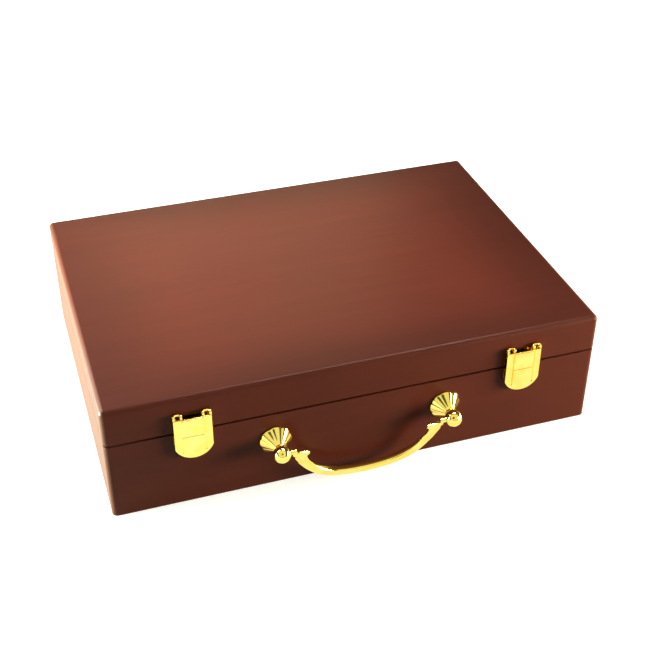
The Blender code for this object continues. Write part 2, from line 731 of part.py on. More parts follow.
def build_hinge_screw(name, x, side, parent):
    """A countersunk wood screw, without its thread, with a straight slot in its head."""
    face, cone_end, tip = screw_heights(side)
    recess = side * LEAF_RIM_DROP / 2
    centre = (x, screw_y(), SEAM_HEIGHT)
    profile = [
        (HINGE_SCREW_HEAD, face + recess),
        (HINGE_SCREW_SHANK, cone_end + recess),
        (HINGE_SCREW_SHANK, tip - side * HINGE_SCREW_SHANK),
        (0.0, tip),
    ]
    bm = bmesh.new()
    add_lathe(bm, profile, centre, "Z", SMALL_STEPS)
    screw = add_piece(name, bm, "gold", (x, screw_y(), SEAM_HEIGHT + face), parent)
    slot = bmesh.new()
    slot_half = HINGE_SCREW_SLOT_WIDTH / 2
    slot_floor = SEAM_HEIGHT + face + recess + side * slot_half
    depths = sorted((SEAM_HEIGHT + face - side * SEAM_GAP, slot_floor))
    low = (x - 2 * HINGE_SCREW_HEAD, screw_y() - slot_half, depths[0])
    high = (x + 2 * HINGE_SCREW_HEAD, screw_y() + slot_half, depths[1])
    add_box(slot, low, high)
    apply_boolean(screw, slot, "DIFFERENCE")
    smooth(screw, METAL_SMOOTHING)
    return screw


def build_hinge(side_name, side, lid_axis):
    """One butt hinge: the base leaf, the lid leaf, the pin and two screws in each leaf."""
    hinge_x = side * HINGE_OFFSET
    build_hinge_leaf(f"hinge_{side_name}_base_leaf", hinge_x, -1, None)
    build_hinge_leaf(f"hinge_{side_name}_lid_leaf", hinge_x, 1, lid_axis)
    half = HINGE_WIDTH / 2
    round_end = HINGE_PIN_RADIUS / 3
    profile = [
        (HINGE_PIN_RADIUS - round_end, -half),
        (HINGE_PIN_RADIUS, -half + round_end),
        (HINGE_PIN_RADIUS, half - round_end),
        (HINGE_PIN_RADIUS - round_end, half),
    ]
    bm = bmesh.new()
    centre = (hinge_x, HINGE_AXIS_Y, SEAM_HEIGHT)
    add_lathe(bm, profile, centre, "X")
    add_piece(f"hinge_{side_name}_pin", bm, "gold", centre, None, METAL_SMOOTHING)
    for number, offset in ((1, -HINGE_SCREW_OFFSET), (2, HINGE_SCREW_OFFSET)):
        build_hinge_screw(f"hinge_{side_name}_base_screw_{number}", hinge_x + offset, -1, None)
        build_hinge_screw(f"hinge_{side_name}_lid_screw_{number}", hinge_x + offset, 1, lid_axis)


# Front latches.


def latch_outline(inset, top, half_width):
    """Returns the outline of a latch piece with its rounded lower end, as (x, z) pairs."""
    drop = LATCH_STRAIGHT_END - LATCH_BOTTOM
    radius = (LATCH_HALF_WIDTH**2 + drop**2) / (2 * drop)
    centre_z = LATCH_BOTTOM + radius
    reduced = radius - inset
    half_angle = math.degrees(math.asin(min(1.0, half_width / reduced)))
    lower = arc((0.0, centre_z), reduced, 270.0 - half_angle, 270.0 + half_angle, ROUND_STEPS // 2)
    return [(-half_width, top)] + lower + [(half_width, top)]


def build_latch_flap(name, latch_x, axis):
    """The cover plate: a raised panel in two halves, and two cheeks at the top that turn on the pins."""
    outline = latch_outline(0.0, LATCH_TOP, LATCH_HALF_WIDTH)
    place = Matrix.Translation((latch_x, 0.0, 0.0)) @ front_plane(LATCH_FLAP_BACK)
    bm = bmesh.new()
    _, far = add_prism(bm, outline, place, LATCH_FLAP_THICKNESS)
    front_edges = [edge for edge in bm.edges if edge.verts[0] in far and edge.verts[1] in far]
    rounding = LATCH_FLAP_THICKNESS / 3
    bmesh.ops.bevel(
        bm, geom=front_edges, offset=rounding, segments=2, profile=0.5, affect="EDGES"
    )
    flap = add_piece(name, bm, "gold", (latch_x, LATCH_AXIS_Y, LATCH_AXIS_HEIGHT), axis)
    panel = bmesh.new()
    face = FRONT - LATCH_FLAP_BACK - LATCH_FLAP_THICKNESS
    groove = SEAM_HEIGHT - LATCH_GROOVE_DROP
    halves = (
        (SEAM_HEIGHT - LATCH_PANEL_DROP, groove - LATCH_GROOVE_WIDTH / 2),
        (groove + LATCH_GROOVE_WIDTH / 2, LATCH_TOP - LATCH_PANEL_MARGIN),
    )
    for low, high in halves:
        corner_low = (latch_x - LATCH_PANEL_WIDTH / 2, face - LATCH_PANEL_RISE, low)
        corner_high = (latch_x + LATCH_PANEL_WIDTH / 2, face + LATCH_PANEL_RISE, high)
        add_rounded_box(panel, corner_low, corner_high, LATCH_PANEL_RISE * 0.6)
    apply_boolean(flap, panel, "UNION")
    cheeks = bmesh.new()
    bores = bmesh.new()
    for side in (-1, 1):
        outer = latch_x + side * LATCH_HALF_WIDTH
        inner = outer - side * LATCH_CHEEK_THICKNESS
        points = []
        circle = full_circle((LATCH_AXIS_Y, LATCH_AXIS_HEIGHT), LATCH_CHEEK_RADIUS)
        foot_y = FRONT - LATCH_FLAP_BACK - LATCH_FLAP_THICKNESS / 2
        corners = [(foot_y, LATCH_TOP - LATCH_CHEEK_DROP), (foot_y, LATCH_TOP)]
        back_y = FRONT - LATCH_FLAP_BACK
        corners.append((back_y, LATCH_TOP - LATCH_CHEEK_DROP))
        for x in (inner, outer):
            points += [(x, y, z) for y, z in circle + corners]
        add_hull(cheeks, points)
        centre = ((inner + outer) / 2, LATCH_AXIS_Y, LATCH_AXIS_HEIGHT)
        reach = LATCH_CHEEK_THICKNESS
        add_cylinder(bores, centre, LATCH_PIN_RADIUS + RUNNING_GAP, -reach, reach, "X", SMALL_STEPS)
    apply_boolean(flap, cheeks, "UNION")
    apply_boolean(flap, bores, "DIFFERENCE")
    smooth(flap, METAL_SMOOTHING)
    return flap


def ear_span(latch_x, side):
    """Returns the x range of one ear of a lid plate: just inside the flap's cheek."""
    outer = LATCH_HALF_WIDTH - LATCH_CHEEK_THICKNESS - LATCH_PLATE_INSET
    ends = (latch_x + side * (outer - LATCH_EAR_WIDTH), latch_x + side * outer)
    return min(ends), max(ends)


def build_latch_lid_plate(name, latch_x, parent):
    """The plate nailed to the lid's front, with two ears that carry the flap's pins."""
    half = LATCH_HALF_WIDTH - LATCH_PLATE_INSET
    shoulder = LATCH_HALF_WIDTH - LATCH_CHEEK_THICKNESS - LATCH_PLATE_INSET
    low = LID_RIM + RIM_ROUNDING
    outline = [
        (-half, low),
        (half, low),
        (half, LATCH_SHOULDER),
        (shoulder, LATCH_SHOULDER),
        (shoulder, LATCH_AXIS_HEIGHT),
        (-shoulder, LATCH_AXIS_HEIGHT),
        (-shoulder, LATCH_SHOULDER),
        (-half, LATCH_SHOULDER),
    ]
    bm = bmesh.new()
    place = Matrix.Translation((latch_x, 0.0, 0.0)) @ front_plane(SEAT_GAP)
    add_prism(bm, outline, place, LATCH_PLATE_THICKNESS)
    plate = add_piece(name, bm, "gold", (latch_x, FRONT, LATCH_AXIS_HEIGHT), parent)
    ears = bmesh.new()
    bores = bmesh.new()
    foot = LATCH_AXIS_HEIGHT - LATCH_EAR_RADIUS
    plate_back = FRONT - SEAT_GAP
    for side in (-1, 1):
        start, end = ear_span(latch_x, side)
        circle = full_circle((LATCH_AXIS_Y, LATCH_AXIS_HEIGHT), LATCH_EAR_RADIUS)
        corners = [(plate_back - LATCH_PLATE_THICKNESS / 2, foot)]
        corners.append((plate_back - LATCH_PLATE_THICKNESS / 2, LATCH_AXIS_HEIGHT + LATCH_EAR_RADIUS / 2))
        points = []
        for x in (start, end):
            points += [(x, y, z) for y, z in circle + corners]
        add_hull(ears, points)
        centre = ((start + end) / 2, LATCH_AXIS_Y, LATCH_AXIS_HEIGHT)
        bore = LATCH_PIN_RADIUS + RUNNING_GAP
        add_cylinder(bores, centre, bore, -LATCH_EAR_WIDTH, LATCH_EAR_WIDTH, "X", SMALL_STEPS)
        nail = (latch_x + side * LATCH_NAIL_OFFSET, FRONT, SEAM_HEIGHT + LATCH_NAIL_RISE)
        add_cylinder(bores, nail, NAIL_RADIUS + NAIL_CLEARANCE, -WALL / 4, WALL / 4, "Y", SMALL_STEPS)
    apply_boolean(plate, ears, "UNION")
    apply_boolean(plate, bores, "DIFFERENCE")
    smooth(plate, METAL_SMOOTHING)
    return plate


def build_latch_catch(name, latch_x):
    """The plate nailed to the base's front, with a low ridge that the flap's back rests close to."""
    half = LATCH_HALF_WIDTH - LATCH_PLATE_INSET
    outline = latch_outline(LATCH_CATCH_INSET, BASE_RIM - RIM_ROUNDING, half)
    bm = bmesh.new()
    place = Matrix.Translation((latch_x, 0.0, 0.0)) @ front_plane(SEAT_GAP)
    add_prism(bm, outline, place, LATCH_PLATE_THICKNESS)
    catch = add_piece(name, bm, "gold", (latch_x, FRONT, SEAM_HEIGHT))
    ridge = bmesh.new()
    ridge_out = FRONT - LATCH_FLAP_BACK + SEAT_GAP
    ridge_in = FRONT - SEAT_GAP - LATCH_PLATE_THICKNESS / 2
    ridge_level = SEAM_HEIGHT - LATCH_RIDGE_DROP
    low = (latch_x - LATCH_RIDGE_HALF_WIDTH, ridge_out, ridge_level - LATCH_RIDGE_HEIGHT / 2)
    high = (latch_x + LATCH_RIDGE_HALF_WIDTH, ridge_in, ridge_level + LATCH_RIDGE_HEIGHT / 2)
    add_rounded_box(ridge, low, high, LATCH_PLATE_THICKNESS / 4)
    apply_boolean(catch, ridge, "UNION")
    holes = bmesh.new()
    for side in (-1, 1):
        nail = (latch_x + side * LATCH_NAIL_OFFSET, FRONT, SEAM_HEIGHT - LATCH_NAIL_DROP)
        add_cylinder(holes, nail, NAIL_RADIUS + NAIL_CLEARANCE, -WALL / 4, WALL / 4, "Y", SMALL_STEPS)
    apply_boolean(catch, holes, "DIFFERENCE")
    smooth(catch, METAL_SMOOTHING)
    return catch


def build_nail(name, x, height, parent):
    """A round-headed nail that holds a latch plate."""
    face = -(SEAT_GAP + LATCH_PLATE_THICKNESS + NAIL_CLEARANCE)
    profile = [(0.0, face - NAIL_HEAD_HEIGHT)]
    for step in range(1, NAIL_HEAD_STEPS + 1):
        angle = math.pi / 2 * step / NAIL_HEAD_STEPS
        rise = face - NAIL_HEAD_HEIGHT * math.cos(angle)
        profile.append((NAIL_HEAD_RADIUS * math.sin(angle), rise))
    profile.append((NAIL_RADIUS, face))
    profile.append((NAIL_RADIUS, NAIL_LENGTH - 3 * NAIL_RADIUS))
    profile.append((0.0, NAIL_LENGTH - NAIL_CLEARANCE))
    bm = bmesh.new()
    centre = (x, FRONT, height)
    add_lathe(bm, profile, centre, "Y", SMALL_STEPS)
    return add_piece(name, bm, "gold", centre, parent, CAST_SMOOTHING)


def build_latch(side_name, side, lid_axis):
    """One latch: plate, pins and nails on the lid, the flap, and the catch with its nails on the base."""
    latch_x = side * LATCH_OFFSET
    axis = add_empty(f"latch_{side_name}_axis", Vector((latch_x, LATCH_AXIS_Y, LATCH_AXIS_HEIGHT)))
    build_latch_flap(f"latch_{side_name}_flap", latch_x, axis)
    axis.parent = lid_axis
    axis.location = axis.location - lid_axis.location
    build_latch_lid_plate(f"latch_{side_name}_lid_plate", latch_x, lid_axis)
    build_latch_catch(f"latch_{side_name}_catch", latch_x)
    for number, end in ((1, -1), (2, 1)):
        start, stop = ear_span(latch_x, end)
        reach = latch_x + end * LATCH_HALF_WIDTH
        low = min(start, reach)
        high = max(stop, reach)
        middle = (low + high) / 2
        half = (high - low) / 2
        round_end = LATCH_PIN_RADIUS / 4
        profile = [
            (LATCH_PIN_RADIUS - round_end, -half),
            (LATCH_PIN_RADIUS, -half + round_end),
            (LATCH_PIN_RADIUS, half - round_end),
            (LATCH_PIN_RADIUS - round_end, half),
        ]
        bm = bmesh.new()
        centre = (middle, LATCH_AXIS_Y, LATCH_AXIS_HEIGHT)
        add_lathe(bm, profile, centre, "X", SMALL_STEPS)
        add_piece(f"latch_{side_name}_pin_{number}", bm, "gold", centre, lid_axis, METAL_SMOOTHING)
        nail_x = latch_x + end * LATCH_NAIL_OFFSET
        lid_nail = f"latch_{side_name}_lid_nail_{number}"
        build_nail(lid_nail, nail_x, SEAM_HEIGHT + LATCH_NAIL_RISE, lid_axis)
        base_nail = f"latch_{side_name}_base_nail_{number}"
        build_nail(base_nail, nail_x, SEAM_HEIGHT - LATCH_NAIL_DROP, None)


# Handle.


def build_rosette(name, post_x):
    """A fluted bell with rounded lobes and sharp valleys, seated on the base's front under the ball."""
    length = BALL_OUT - BALL_RADIUS
    steps_round = ROSETTE_LOBES * FLUTE_STEPS
    bore = STUD_RADIUS + STUD_CLEARANCE
    stations = [(ROSETTE_RADIUS, SEAT_GAP), (ROSETTE_RADIUS, ROSETTE_LIP)]
    for step in range(1, BELL_STEPS + 1):
        part = step / BELL_STEPS
        spare = (ROSETTE_RADIUS - ROSETTE_NECK_RADIUS) * (1.0 - part) ** ROSETTE_BELL
        out = ROSETTE_LIP + (length - SEAT_GAP - ROSETTE_LIP) * part
        stations.append((ROSETTE_NECK_RADIUS + spare, out))
    bm = bmesh.new()
    rings = []
    for radius, out in stations:
        ring = []
        for step in range(steps_round):
            angle = 2.0 * math.pi * step / steps_round
            lobe = abs(math.cos(ROSETTE_LOBES * angle / 2.0))
            flute = ROSETTE_FLUTE * (1.0 - lobe) ** ROSETTE_VALLEY_SHARPNESS
            reach = radius * (1.0 - flute)
            x = post_x + reach * math.cos(angle)
            z = POST_HEIGHT + reach * math.sin(angle)
            ring.append(bm.verts.new((x, FRONT - out, z)))
        rings.append(ring)
    for first, second in zip(rings, rings[1:]):
        join_rings(bm, first, second)
    bm.faces.new(rings[0])
    bm.faces.new(rings[-1])
    rosette = add_piece(name, bm, "gold", (post_x, FRONT, POST_HEIGHT))
    cut = bmesh.new()
    add_cylinder(cut, (post_x, FRONT, POST_HEIGHT), bore, -2 * length, length, "Y", SMALL_STEPS)
    apply_boolean(rosette, cut, "DIFFERENCE")
    smooth(rosette, CAST_SMOOTHING)
    return rosette


def build_post(name, side):
    """A polished ball on a stud that runs through the rosette and the wall, drilled on its inner side."""
    post_x = side * POST_OFFSET
    centre = (post_x, FRONT, POST_HEIGHT)
    stud_end = WALL - SEAT_GAP
    profile = [(0.0, -BALL_OUT - BALL_RADIUS)]
    half_steps = BALL_STEPS // 2
    for step in range(1, half_steps + 1):
        angle = math.pi * step / half_steps
        radius = BALL_RADIUS * math.sin(angle)
        along = -BALL_OUT - BALL_RADIUS * math.cos(angle)
        if angle > math.pi / 2 and radius < STUD_RADIUS:
            break
        profile.append((radius, along))
    profile.append((STUD_RADIUS, -BALL_OUT + math.sqrt(BALL_RADIUS**2 - STUD_RADIUS**2)))
    profile.append((STUD_RADIUS, stud_end - STUD_RADIUS / 4))
    profile.append((STUD_RADIUS * 0.75, stud_end))
    bm = bmesh.new()
    add_lathe(bm, profile, centre, "Y", ROUND_STEPS)
    post = add_piece(name, bm, "gold", (post_x, FRONT - BALL_OUT, POST_HEIGHT))
    bore = bmesh.new()
    pin_end = BAIL_PIN_BITE + BAIL_BORE_SLACK - BALL_RADIUS
    ends = sorted((-side * 2 * BALL_RADIUS, side * pin_end))
    ball = (post_x, FRONT - BALL_OUT, POST_HEIGHT)
    add_cylinder(bore, ball, BAIL_PIN_RADIUS + RUNNING_GAP, ends[0], ends[1], "X", SMALL_STEPS)
    apply_boolean(post, bore, "DIFFERENCE")
    smooth(post, CAST_SMOOTHING)
    return post


def build_washer_and_nut(side_name, side):
    """The washer and hexagonal nut in the pocket inside the front wall."""
    post_x = side * POST_OFFSET
    centre = (post_x, FRONT, POST_HEIGHT)
    bore = STUD_RADIUS + STUD_CLEARANCE
    start = WALL - NUT_POCKET_DEPTH + SEAT_GAP
    end = start + WASHER_THICKNESS
    bm = bmesh.new()
    profile = [(bore, start), (WASHER_RADIUS, start), (WASHER_RADIUS, end), (bore, end)]
    add_lathe(bm, profile, centre, "Y", ROUND_STEPS, closed=True)
    place = (post_x, FRONT + start, POST_HEIGHT)
    add_piece(f"handle_{side_name}_washer", bm, "steel", place, None, METAL_SMOOTHING)
    low = end + SEAT_GAP
    high = low + NUT_THICKNESS
    bm = bmesh.new()
    add_cylinder(bm, centre, NUT_RADIUS, low, high, "Y", 6)
    nut = add_piece(f"handle_{side_name}_nut", bm, "steel", (post_x, FRONT + low, POST_HEIGHT))
    cut = bmesh.new()
    add_cylinder(cut, centre, bore, 0.0, 2 * WALL, "Y", SMALL_STEPS)
    apply_boolean(nut, cut, "DIFFERENCE")
    smooth(nut, METAL_SMOOTHING)


def bow_drop(distance):
    """How far the middle of the bow hangs below the pin axis, at a distance along X from the middle."""
    span = min(1.0, abs(distance) / BAIL_BOW_END)
    fall = BAIL_REACH - BAIL_BOW_END_DROP
    round_part = BAIL_BOW_ROUND_SHARE * span**BAIL_BOW_ROUND_POWER
    square_part = (1.0 - BAIL_BOW_ROUND_SHARE) * span**BAIL_BOW_SQUARE_POWER
    return BAIL_REACH - fall * (round_part + square_part)


def bow_slope(distance):
    """How steeply the bow's drop changes along X, read just inside its ends."""
    delta = BAIL_BOW_END * SLOPE_STEP
    inside = max(-BAIL_BOW_END + delta, min(BAIL_BOW_END - delta, distance))
    return (bow_drop(inside + delta) - bow_drop(inside - delta)) / (2 * delta)


def bow_section(distance):
    """Returns the bow's height in its own plane and its thickness across it, at a distance along X."""
    span = min(1.0, abs(distance) / BAIL_BOW_END)
    height = BAIL_BOW_HEIGHT * (1.0 + BAIL_BOW_END_SWELL * span**3)
    flattened = max(0.0, (span - BAIL_BOW_FLAT_START) / (1.0 - BAIL_BOW_FLAT_START))
    end_thickness = BAIL_PLATE_THICKNESS * BAIL_BOW_FLAT_SHARE
    thickness = BAIL_BOW_THICKNESS + (end_thickness - BAIL_BOW_THICKNESS) * flattened
    return height, thickness


def build_bail(parent):
    """A cast bow with flattened, T-headed ends and a pin at each end, drawn plumb and then leant back."""
    ring_points = rounded_rectangle(0.5, 0.5, BAIL_BOW_CORNER_SHARE, 2)
    bm = bmesh.new()
    rings = []
    for step in range(BAIL_STEPS + 1):
        distance = BAIL_BOW_END * (2.0 * step / BAIL_STEPS - 1.0)
        tangent = Vector((1.0, 0.0, -bow_slope(distance))).normalized()
        across = Vector((tangent.z, 0.0, -tangent.x))
        height, thickness = bow_section(distance)
        middle = Vector((distance, 0.0, -bow_drop(distance)))
        ring = []
        for u, v in ring_points:
            offset = across * (u * height) + Vector((0.0, v * thickness, 0.0))
            ring.append(bm.verts.new(middle + offset))
        rings.append(ring)
    for first, second in zip(rings, rings[1:]):
        join_rings(bm, first, second)
    bm.faces.new(rings[0])
    bm.faces.new(rings[-1])
    bail = add_piece("bail", bm, "gold", (0.0, 0.0, 0.0))
    for side in (-1, 1):
        tool = bmesh.new()
        outline = [(side * x, -drop) for x, drop in shoulder_outline()]
        middle = Matrix.Translation((0.0, BAIL_PLATE_THICKNESS / 2, 0.0))
        place = middle @ Matrix.Rotation(math.pi / 2, 4, "X")
        near, far = add_prism(tool, outline, place, BAIL_PLATE_THICKNESS)
        loops = [edge for edge in tool.edges if both_in(edge, near) or both_in(edge, far)]
        rounding = BAIL_PLATE_THICKNESS / 7
        bmesh.ops.bevel(
            tool, geom=loops, offset=rounding, segments=1, profile=0.5, affect="EDGES"
        )
        apply_boolean(bail, tool, "UNION")
        tool = bmesh.new()
        knuckle_start = KNUCKLE_END - BAIL_KNUCKLE_LENGTH
        pin_end = POST_OFFSET - BALL_RADIUS + BAIL_PIN_BITE
        round_end = BAIL_PIN_RADIUS / 4
        profile = [
            (BAIL_KNUCKLE_RADIUS - round_end, knuckle_start),
            (BAIL_KNUCKLE_RADIUS, knuckle_start + round_end),
            (BAIL_KNUCKLE_RADIUS, KNUCKLE_END),
            (BAIL_PIN_RADIUS, KNUCKLE_END),
            (BAIL_PIN_RADIUS, pin_end - round_end),
            (BAIL_PIN_RADIUS - round_end, pin_end),
        ]
        profile = [(radius, side * along) for radius, along in profile]
        add_lathe(tool, profile, (0.0, 0.0, 0.0), "X", SMALL_STEPS)
        apply_boolean(bail, tool, "UNION")
    smooth(bail, CAST_SMOOTHING)
    bail.parent = parent
    bail.rotation_euler = (math.radians(BAIL_LEAN), 0.0, 0.0)
    return bail


def both_in(edge, verts):
    """Tells whether both ends of an edge are in a list of vertices."""
    return edge.verts[0] in verts and edge.verts[1] in verts


def shoulder_outline():
    """Returns the outline of the bail's right-hand shoulder, as (x, drop) pairs from the pin axis."""
    outer_top = BAIL_SHOULDER_TOP
    inner_top = outer_top + BAIL_SHOULDER_SLOPE
    outer_end = outer_top + BAIL_CROSSBAR_DEPTH
    inner_end = inner_top + BAIL_CROSSBAR_DEPTH
    corner = BAIL_CROSSBAR_DEPTH / 4
    neck_outer = SHOULDER_OUTER - BAIL_NECK_INSET
    neck_inner = SHOULDER_INNER + BAIL_NECK_INSET
    outline = [
        (SHOULDER_INNER + corner, inner_top),
        (SHOULDER_OUTER - corner, outer_top),
        (SHOULDER_OUTER, outer_top + corner),
        (SHOULDER_OUTER, outer_end - corner),
        (SHOULDER_OUTER - BAIL_NECK_INSET / 2, outer_end),
        (neck_outer, outer_end + corner),
        (neck_outer, outer_end + 4 * corner),
    ]
    outer_sweep = []
    inner_sweep = []
    for step in range(SWEEP_STEPS + 1):
        part = BAIL_SWEEP_START + (BAIL_SWEEP_END - BAIL_SWEEP_START) * step / SWEEP_STEPS
        distance = BAIL_BOW_END * part
        normal = Vector((-bow_slope(distance), 1.0)).normalized()
        width, _ = bow_section(distance)
        half = width * BAIL_SWEEP_SHARE
        outer_sweep.append((distance + normal.x * half, bow_drop(distance) + normal.y * half))
        inner_sweep.append((distance - normal.x * half, bow_drop(distance) - normal.y * half))
    outline += reversed(outer_sweep)
    outline += inner_sweep
    outline.append((neck_inner, inner_end + 4 * corner))
    outline.append((neck_inner, inner_end + corner))
    outline.append((SHOULDER_INNER + BAIL_NECK_INSET / 2, inner_end))
    outline.append((SHOULDER_INNER, inner_end - corner))
    outline.append((SHOULDER_INNER, inner_top + corner))
    return outline


def build_handle():
    """Both rosettes and ball posts with their nuts, and the bail between them."""
    for side_name, side in SIDES:
        build_rosette(f"handle_{side_name}_rosette", side * POST_OFFSET)
        build_post(f"handle_{side_name}_post", side)
        build_washer_and_nut(side_name, side)
    axis = add_empty("bail_axis", BAIL_AXIS)
    build_bail(axis)


def build_case():
    """Builds every piece of the case."""
    clear_scene()
    lid_axis = add_empty("lid_axis", LID_AXIS)
    build_base_shell()
    build_base_bottom()
    build_chip_tray("chip_tray_left", -1)
    build_chip_tray("chip_tray_right", 1)
    build_centre_insert()
    low = tray_floor() + TRAY_HEIGHT + PANEL_GAP
    build_lining("base_lining", low, BASE_RIM - LINING_MARGIN, (0.0, 0.0, 0.0), None)
    build_lid_shell(lid_axis)
    high = CEILING - 2 * LID_CEILING_FILLET - LINER_THICKNESS
    build_lining("lid_lining", LID_RIM + LINING_MARGIN, high, LID_AXIS, lid_axis)
    build_lid_liner(lid_axis)
    for side_name, side in SIDES:
        build_hinge(side_name, side, lid_axis)
        build_latch(side_name, side, lid_axis)
    build_handle()


build_case()
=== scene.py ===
"""Looks for a poker chip case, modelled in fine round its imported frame.

Lengths are metres. +X runs along the case's width, -Y is its front with the latches and the handle, and +Z is
up. Each class builds one sub-assembly, and every piece rides on the body of the node that it stands for.
"""

from __future__ import annotations

import json
import logging
import math
import sys
from collections.abc import Callable, Sequence
from dataclasses import dataclass, field
from enum import Enum

import bmesh
import bpy
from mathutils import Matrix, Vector

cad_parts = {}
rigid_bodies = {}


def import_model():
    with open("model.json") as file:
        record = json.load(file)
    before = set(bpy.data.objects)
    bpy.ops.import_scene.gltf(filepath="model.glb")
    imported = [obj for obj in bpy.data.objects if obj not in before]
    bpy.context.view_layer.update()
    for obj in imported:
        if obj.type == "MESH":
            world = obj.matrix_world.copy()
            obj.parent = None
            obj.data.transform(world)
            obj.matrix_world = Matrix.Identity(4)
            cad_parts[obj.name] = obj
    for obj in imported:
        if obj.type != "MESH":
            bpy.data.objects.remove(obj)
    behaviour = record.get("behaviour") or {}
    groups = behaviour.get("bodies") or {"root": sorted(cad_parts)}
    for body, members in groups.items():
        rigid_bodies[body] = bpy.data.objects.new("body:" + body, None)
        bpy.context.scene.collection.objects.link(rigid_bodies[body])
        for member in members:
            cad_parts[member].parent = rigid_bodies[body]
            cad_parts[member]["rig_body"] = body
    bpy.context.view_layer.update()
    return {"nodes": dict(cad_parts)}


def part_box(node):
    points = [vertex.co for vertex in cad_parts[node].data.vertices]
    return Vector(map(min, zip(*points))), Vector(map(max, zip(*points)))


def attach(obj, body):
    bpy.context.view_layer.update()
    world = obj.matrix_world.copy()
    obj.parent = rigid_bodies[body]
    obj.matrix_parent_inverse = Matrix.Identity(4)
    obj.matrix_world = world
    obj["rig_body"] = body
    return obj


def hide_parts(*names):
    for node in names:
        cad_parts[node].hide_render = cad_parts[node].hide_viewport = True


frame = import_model()
LOG = logging.getLogger("chip_case")

NEAR = 1e-5
HAIR = 1e-7
FACING = 0.9
BOTH = (-1, 1)
Colour = tuple[float, float, float]
Place = tuple[float, float, float]
Pair = tuple[float, float]
PointTest = Callable[[Vector], bool]


# Shader tools.


class Value:
    """A shader socket that carries a number, with arithmetic."""

    def __init__(self, dress: Dress, socket: bpy.types.NodeSocket) -> None:
        """Wraps a socket."""
        self.dress = dress
        self.socket = socket

    def _math(self, operation: str, *values: object) -> Value:
        """Adds one Math node."""
        node = self.dress.node("ShaderNodeMath", {"operation": operation}, dict(enumerate(values)))
        return Value(self.dress, node.outputs[0])

    def __add__(self, other: object) -> Value:
        """Returns the sum."""
        return self._math("ADD", self, other)

    def __radd__(self, other: object) -> Value:
        """Returns the sum."""
        return self._math("ADD", other, self)

    def __sub__(self, other: object) -> Value:
        """Returns the difference."""
        return self._math("SUBTRACT", self, other)

    def __rsub__(self, other: object) -> Value:
        """Returns the difference."""
        return self._math("SUBTRACT", other, self)

    def __mul__(self, other: object) -> Value:
        """Returns the product."""
        return self._math("MULTIPLY", self, other)

    def __rmul__(self, other: object) -> Value:
        """Returns the product."""
        return self._math("MULTIPLY", other, self)

    def __gt__(self, other: object) -> Value:
        """Returns 1 where this is the greater."""
        return self._math("GREATER_THAN", self, other)

    def __abs__(self) -> Value:
        """Returns the size without its sign."""
        return self._math("ABSOLUTE", self)

    def most(self, other: Value, softness: float) -> Value:
        """Returns the greater of two values, changing softly from one to the other."""
        return self._math("SMOOTH_MAX", self, other, softness)


class Tree:
    """A node tree under construction."""

    def __init__(self, tree: bpy.types.NodeTree) -> None:
        """Keeps the tree."""
        self.tree = tree

    def node(self, kind: str, settings: dict[str, object], inputs: dict[int | str, object]) -> bpy.types.Node:
        """Adds any node.

        Args:
            kind: The node's type.
            settings: Properties, set before the sockets.
            inputs: A value or a link for each named socket.

        Returns:
            The node.
        """
        made = self.tree.nodes.new(kind)
        for key, value in settings.items():
            setattr(made, key, value)
        for key, value in inputs.items():
            self.join(made.inputs[key], value)
        return made

    def join(self, socket: bpy.types.NodeSocket, value: object) -> None:
        """Links or sets one socket.

        Args:
            socket: The input socket.
            value: A Value, an output socket, a number or a tuple of numbers.
        """
        if isinstance(value, Value):
            value = value.socket
        if isinstance(value, bpy.types.NodeSocket):
            self.tree.links.new(value, socket)
            return
        if isinstance(value, tuple) and socket.type == "RGBA" and len(value) == 3:
            value = (*value, 1.0)
        socket.default_value = value


